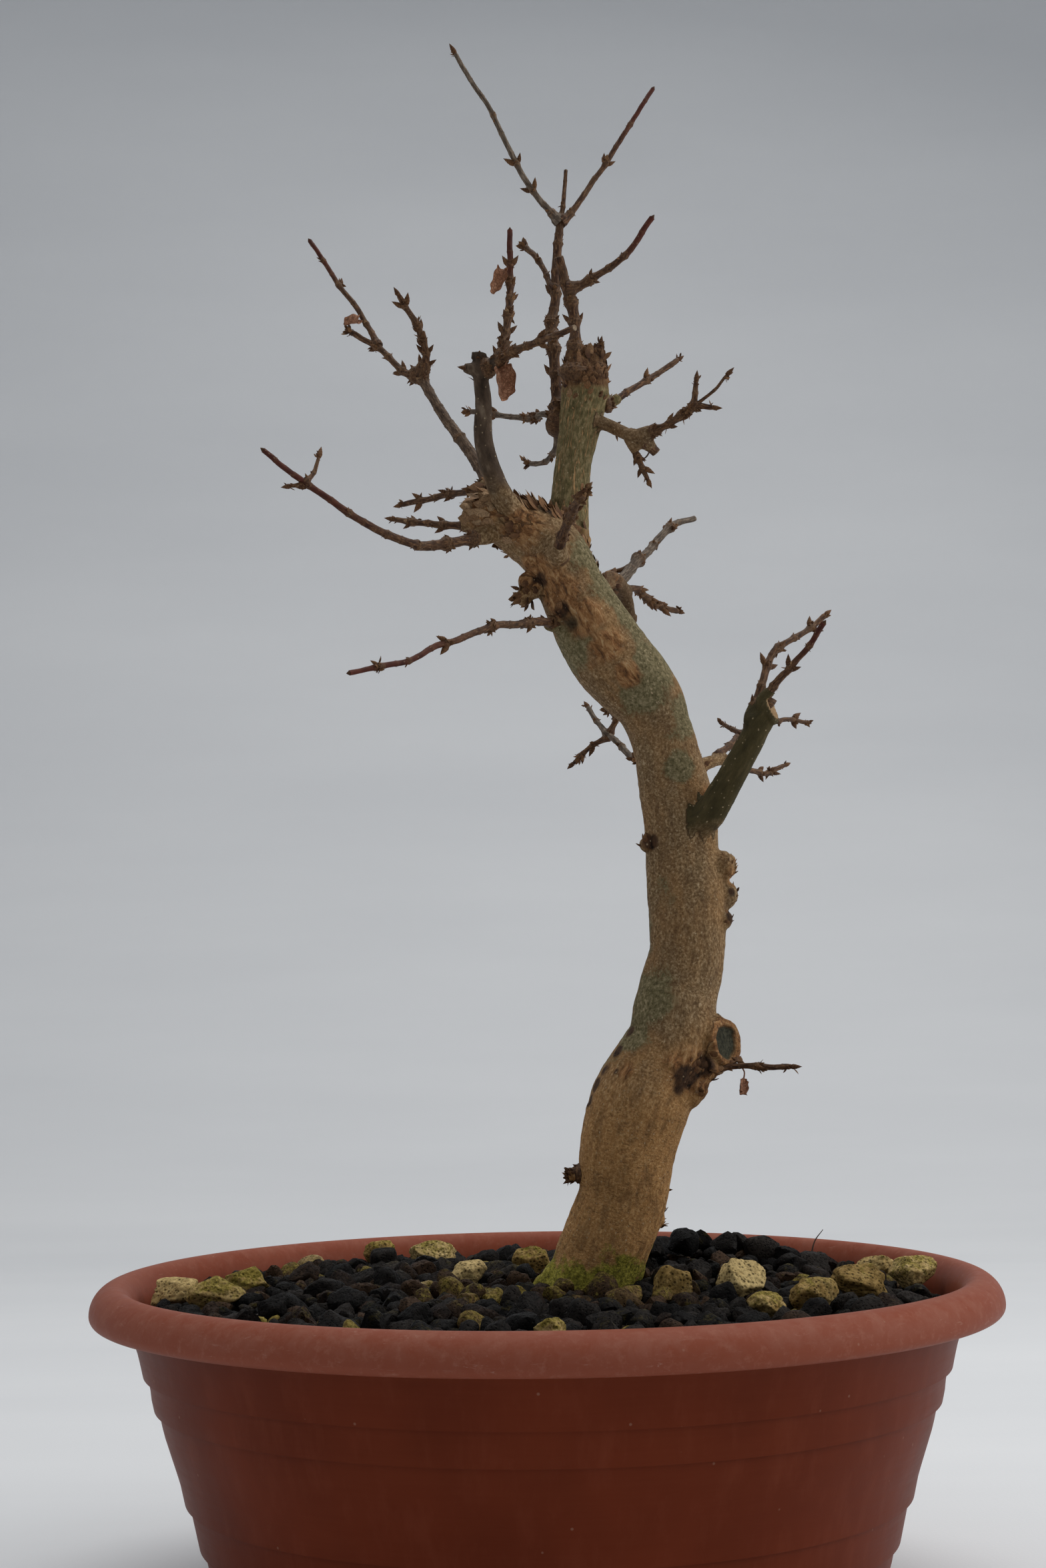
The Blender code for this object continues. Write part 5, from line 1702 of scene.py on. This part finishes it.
class Yard:
    """Keeps the placed stones in a grid, so that a new one can be tested for room."""

    def __init__(self, cell=8.0):
        self.cell, self.grid = cell, {}

    def put(self, x, y, half):
        self.grid.setdefault((int(x // self.cell), int(y // self.cell)), []).append((x, y, half))

    def room(self, x, y, half, share):
        a, b = int(x // self.cell), int(y // self.cell)
        for i in range(a - 2, a + 3):
            for j in range(b - 2, b + 3):
                for u, w, other in self.grid.get((i, j), ()):
                    if (u - x) ** 2 + (w - y) ** 2 < ((half + other) * share) ** 2:
                        return False
        return True


def grain_kind(draw, out, near_trunk):
    """A scattered grain's kind, from a draw between 0 and 1 and its place."""
    tan_share = 0.055 if out > 70 else 0.02
    if draw < tan_share:
        return "tan"
    if draw < tan_share + (0.12 if near_trunk else 0.03):
        return "ochre"
    return "brown" if draw < (0.50 if near_trunk else 0.30) else "black"


def build_grit():
    """Some 1,800 loose grains: black and brown lava, a few ochre and tan ones, in two layers."""
    shapes = [stone_shape(2, 500 + k, 11, 0.46, 0.08) for k in range(16)]
    fine = [stone_shape(3, 700 + k, 13, 0.46, 0.09, 0.035) for k in range(24)]
    skins = {kind: Skin() for kind in GRITS}
    mine = random.Random(23)
    yard, deep = Yard(), Yard()
    for i in range(1, 16):
        low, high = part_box(f"pumice_lump_{i:02d}")
        middle = (low + high) / 2 / MM
        half = max(high.x - low.x, high.y - low.y) / 2 / MM
        yard.put(middle.x, middle.y, half * 1.04)
    foot = placed(TRUNK[2])

    def lay(x, y, size, lift, which, detailed):
        ground = ground_height(x, y)
        if ground is None:
            return
        corners, faces = mine.choice(fine if detailed else shapes)
        flat = np.array([1.12, mine.uniform(0.74, 0.98), mine.uniform(0.62, 0.88)]) * size
        spin = (mine.uniform(-0.8, 0.8), mine.uniform(-0.8, 0.8), mine.uniform(0, 6.28))
        shaped = turned(corners * flat, spin)
        sunk = shaped[:, 2].min()
        height = ground - sunk - size * 0.22 + lift
        facing = unit(shaped)[:, 2]
        if which in ("black", "brown"):
            moss = np.clip(mine.choice((0.0, 0.0, 0.1, 0.25)) + 0.2 * facing, 0, 1)
        else:
            moss = np.clip(mine.uniform(0.2, 0.7) + 0.25 * facing, 0, 1)
        middle = np.array([x, y, height])
        offset = np.array([mine.uniform(0, 90) for _ in range(3)])
        skins[which].add(shaped + middle, faces, grown=(shaped + offset) * MM, tone=mine.random(), moss=moss)

    lava = []
    for i in range(1, 23):
        low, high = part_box(f"lava_grain_{i:02d}")
        middle = (low + high) / 2 / MM
        size = max(high.x - low.x, high.y - low.y) / MM
        yard.put(middle.x, middle.y, size / 2 * 0.9)
        lava.append((middle, Vector((high - low)) / MM))
    for k, (middle, size) in enumerate(lava):
        corners, faces = stone_shape(4, 900 + k, 13, 0.44, 0.08, 0.03)
        corners = corners / (corners.max(axis=0) - corners.min(axis=0)) * np.array(size) * 1.02
        which = "brown" if k % 4 == 1 else "black"
        tone = 0.25 + 0.5 * mine.random()
        skins[which].add(
            corners + np.array(middle), faces, grown=(corners + 35.0 * k) * MM, tone=tone, moss=0.0
        )
    for which, laid in (("black", MOUND), ("ochre", OCHRE)):
        for x, y, size, lift in laid:
            lay(x, y, size, lift, which, True)
            yard.put(x, y, size / 2 * 0.8)
    for number, small, big, share in GRADES:
        for _ in range(number):
            for _ in range(14):
                turn, out = mine.uniform(0, 6.2832), GRIT_REACH * math.sqrt(mine.random())
                x, y = out * math.cos(turn), out * math.sin(turn)
                size = mine.uniform(small, big)
                clear = math.hypot(x - foot[0] - 1.0, y - foot[1]) >= 12.6 + size * 0.3
                if out + size * 0.42 <= GRIT_REACH and clear and yard.room(x, y, size / 2, share):
                    yard.put(x, y, size / 2)
                    near_trunk = math.hypot(x - foot[0], y - foot[1]) < 45 and y < 0
                    which = grain_kind(mine.random(), out, near_trunk)
                    detailed = y < 20 or size > 7.5
                    lay(x, y, size, mine.uniform(-0.6, 1.2), which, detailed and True)
                    break
    for _ in range(1500):
        turn, out = mine.uniform(0, 6.2832), (GRIT_REACH - 2.0) * math.sqrt(mine.random())
        x, y = out * math.cos(turn), out * math.sin(turn)
        size = mine.uniform(4.5, 7.0)
        if math.hypot(x - foot[0] - 1.0, y - foot[1]) > 12.4 and deep.room(x, y, size / 2, 0.7):
            deep.put(x, y, size / 2)
            lay(x, y, size, -1.9, "brown" if mine.random() < 0.3 else "black", False)
    for which, (name, low, middle, high, moss) in GRITS.items():
        finish = stone_finish(name, low, middle, high, moss, 0.8, 0.35)
        piece = skins[which].piece(f"{which}_grains", finish, 38)
        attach(piece, "root")
        if which == "black":
            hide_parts(*[f"lava_grain_{i:02d}" for i in range(1, 23)])
    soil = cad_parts["substrate"]
    soil.data.materials.clear()
    soil.data.materials.append(soil_finish())


# Dead scraps


def build_leaves():
    """Crumpled scraps of last year's leaves, each in its own place in the frame."""
    finish = leaf_finish()
    tilts = ((80, 20, 15), (84, -12, 30), (10, 25, 60), (70, 25, 20))
    sizes = ((4.5, 8.0), (6.6, 9.6), (3.4, 5.6), (3.4, 5.6))
    for i in range(4):
        node = f"dried_leaf_{i + 1}"
        low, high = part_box(node)
        middle = np.array((low + high) / 2) / MM
        width, length = sizes[i]
        rows, columns = 44, 26
        u, w = np.meshgrid(np.linspace(-0.5, 0.5, columns), np.linspace(-0.5, 0.5, rows))
        u, w = u.ravel(), w.ravel()
        flat = np.column_stack([u * 3, w * 5, np.full(len(u), i * 9.0)])
        edge = np.sqrt(np.clip(1.04 - 3.2 * w * w, 0.05, 1)) + 0.10 * np.sin(w * 22 + i) * np.abs(u) * 2
        roll = u * (2.9 + 1.2 * np.sin(3.0 * w + i))
        radius = width * edge / 2.6 * (1.0 + 0.10 * fractal(flat, 0.9, 2, 40 + i))
        lean = 0.9 * w
        x = radius * np.sin(roll + lean) + 0.10 * lumps(flat, 0.8, 70 + i)
        y = w * length + 0.9 * (1 - np.cos(roll)) * np.sin(7.0 * w)
        top = np.column_stack([x, y, radius * (1 - np.cos(roll + lean)) + 0.12 * width * np.sin(4.5 * w + i)])
        corners = np.vstack([top + (0, 0, 0.09), top - (0, 0, 0.09)])
        faces = []
        half = rows * columns
        for r in range(rows - 1):
            for c in range(columns - 1):
                a = r * columns + c
                faces.append([a, a + 1, a + columns + 1, a + columns])
                faces.append([half + a, half + a + columns, half + a + columns + 1, half + a + 1])
        rim = list(range(columns))
        rim += [r * columns + columns - 1 for r in range(1, rows)]
        rim += [(rows - 1) * columns + c for c in range(columns - 2, -1, -1)]
        rim += [r * columns for r in range(rows - 2, 0, -1)]
        for a, b in zip(rim, rim[1:] + rim[:1]):
            faces.append([a, half + a, half + b, b])
        corners = turned(corners, [math.radians(t) for t in tilts[i]])
        corners = corners - (corners.max(axis=0) + corners.min(axis=0)) / 2 + middle
        skin = Skin()
        skin.add(corners, faces)
        if i in (1, 3):
            top_spot = middle + (0, 0, length * 0.42)
            points = [top_spot, top_spot + (0.2, 0.3, 1.6), top_spot + (-0.4, 0.8, 3.0)]
            path, radii = rounded(points, [0.22, 0.2, 0.24], 0.25)
            skin.add(*sweep(path, radii, radii, 8)[:2])
        piece = skin.piece(f"curled_leaf_{i + 1}", finish)
        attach(piece, "root")
        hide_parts(node)


def build_scraps():
    """The hanging leaf stalk and the stray fibre on the soil."""
    finish = stalk_finish()
    hook = [
        (31.5, 2.4, 243.6), (33.2, 2.4, 242.0), (33.6, 2.4, 239.4), (32.6, 2.6, 237.0), (31.0, 2.6, 235.8)
    ]
    path, radii = rounded([placed(p) for p in hook], [0.30, 0.28, 0.26, 0.24, 0.16], 0.3)
    skin = Skin()
    corners, faces, grown = sweep(path, radii, radii, 10)
    skin.add(corners, faces, grown=grown * MM)
    stalk = skin.piece("leaf_stalk", finish)
    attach(stalk, "root")
    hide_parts("dry_petiole")
    low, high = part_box("stray_fibre")
    start = np.array([low.x + 0.00035, low.y + 0.00035, low.z]) / MM
    rise = [start + p for p in ((0, 0, 0), (0.4, 0, 5.0), (1.6, 0.4, 9.6), (4.2, 0.8, 13.0))]
    path, radii = rounded(rise, [0.34, 0.28, 0.2, 0.1], 0.3)
    skin = Skin()
    corners, faces, grown = sweep(path, radii, radii, 10)
    skin.add(corners, faces, grown=grown * MM)
    fibre = skin.piece("loose_fibre", finish)
    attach(fibre, "root")
    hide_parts("stray_fibre")


# Studio


def build_studio():
    """A pale floor that sweeps up into a backdrop, soft light, and the camera."""
    section = [(-2.6, 0.0), (0.9, 0.0)]
    for turn in np.radians(np.linspace(0, 90, 24)):
        section.append((0.9 + 0.9 * math.sin(turn), 0.9 - 0.9 * math.cos(turn)))
    section.append((1.8, 3.2))
    mesh = bpy.data.meshes.new("floor")
    corners = [(x, y, z) for y, z in section for x in (-3.4, 3.4)]
    faces = [[2 * i, 2 * i + 1, 2 * i + 3, 2 * i + 2] for i in range(len(section) - 1)]
    mesh.from_pydata(corners, [], faces)
    floor = dressed("floor", mesh, floor_finish())
    world = bpy.data.worlds.new("studio")
    world.use_nodes = True
    sky = world.node_tree.nodes["Background"]
    sky.inputs["Color"].default_value = (0.86, 0.92, 1.0, 1.0)
    sky.inputs["Strength"].default_value = 0.25
    bpy.context.scene.world = world
    lamps = (
        ("overhead", (0.20, 0.30, 1.55), (0, 0, 0.1), 1.5, 1.3, 15.0),
        ("right_window", (1.35, -0.15, 0.75), (0, 0, 0.2), 1.1, 1.2, 9.5),
        ("left_fill", (-1.35, -0.20, 0.70), (0, 0, 0.2), 1.1, 1.2, 2.6),
        ("front_fill", (0.2, -1.7, 0.85), (0, 0, 0.2), 1.2, 1.0, 1.2),
    )
    for name, place, aim, wide, tall, power in lamps:
        lamp = bpy.data.lights.new(name, "AREA")
        lamp.shape = "RECTANGLE"
        lamp.size = wide
        lamp.size_y = tall
        lamp.energy = power
        lamp.color = (1.0, 0.985, 0.96)
        holder = bpy.data.objects.new(name, lamp)
        holder.location = place
        holder.rotation_euler = (Vector(aim) - Vector(place)).to_track_quat("-Z", "Y").to_euler()
        bpy.context.scene.collection.objects.link(holder)
    camera = bpy.data.cameras.new("camera")
    camera.sensor_fit = "VERTICAL"
    camera.sensor_height = 36.0
    camera.sensor_width = 24.0
    camera.lens = 53.617
    camera.clip_start = 0.01
    camera.clip_end = 20.0
    camera.dof.use_dof = False
    holder = bpy.data.objects.new("camera", camera)
    tilt = Matrix.Rotation(math.radians(95.452), 4, "X") @ Matrix.Rotation(math.radians(-0.801), 4, "Z")
    holder.matrix_world = Matrix.Translation((-0.0045, -0.6585, 0.1654)) @ tilt
    bpy.context.scene.collection.objects.link(holder)
    bpy.context.scene.camera = holder
    bpy.context.scene.view_settings.view_transform = "Standard"


build_studio()
build_pot()
build_tree()
build_pumice()
build_grit()
build_leaves()
build_scraps()
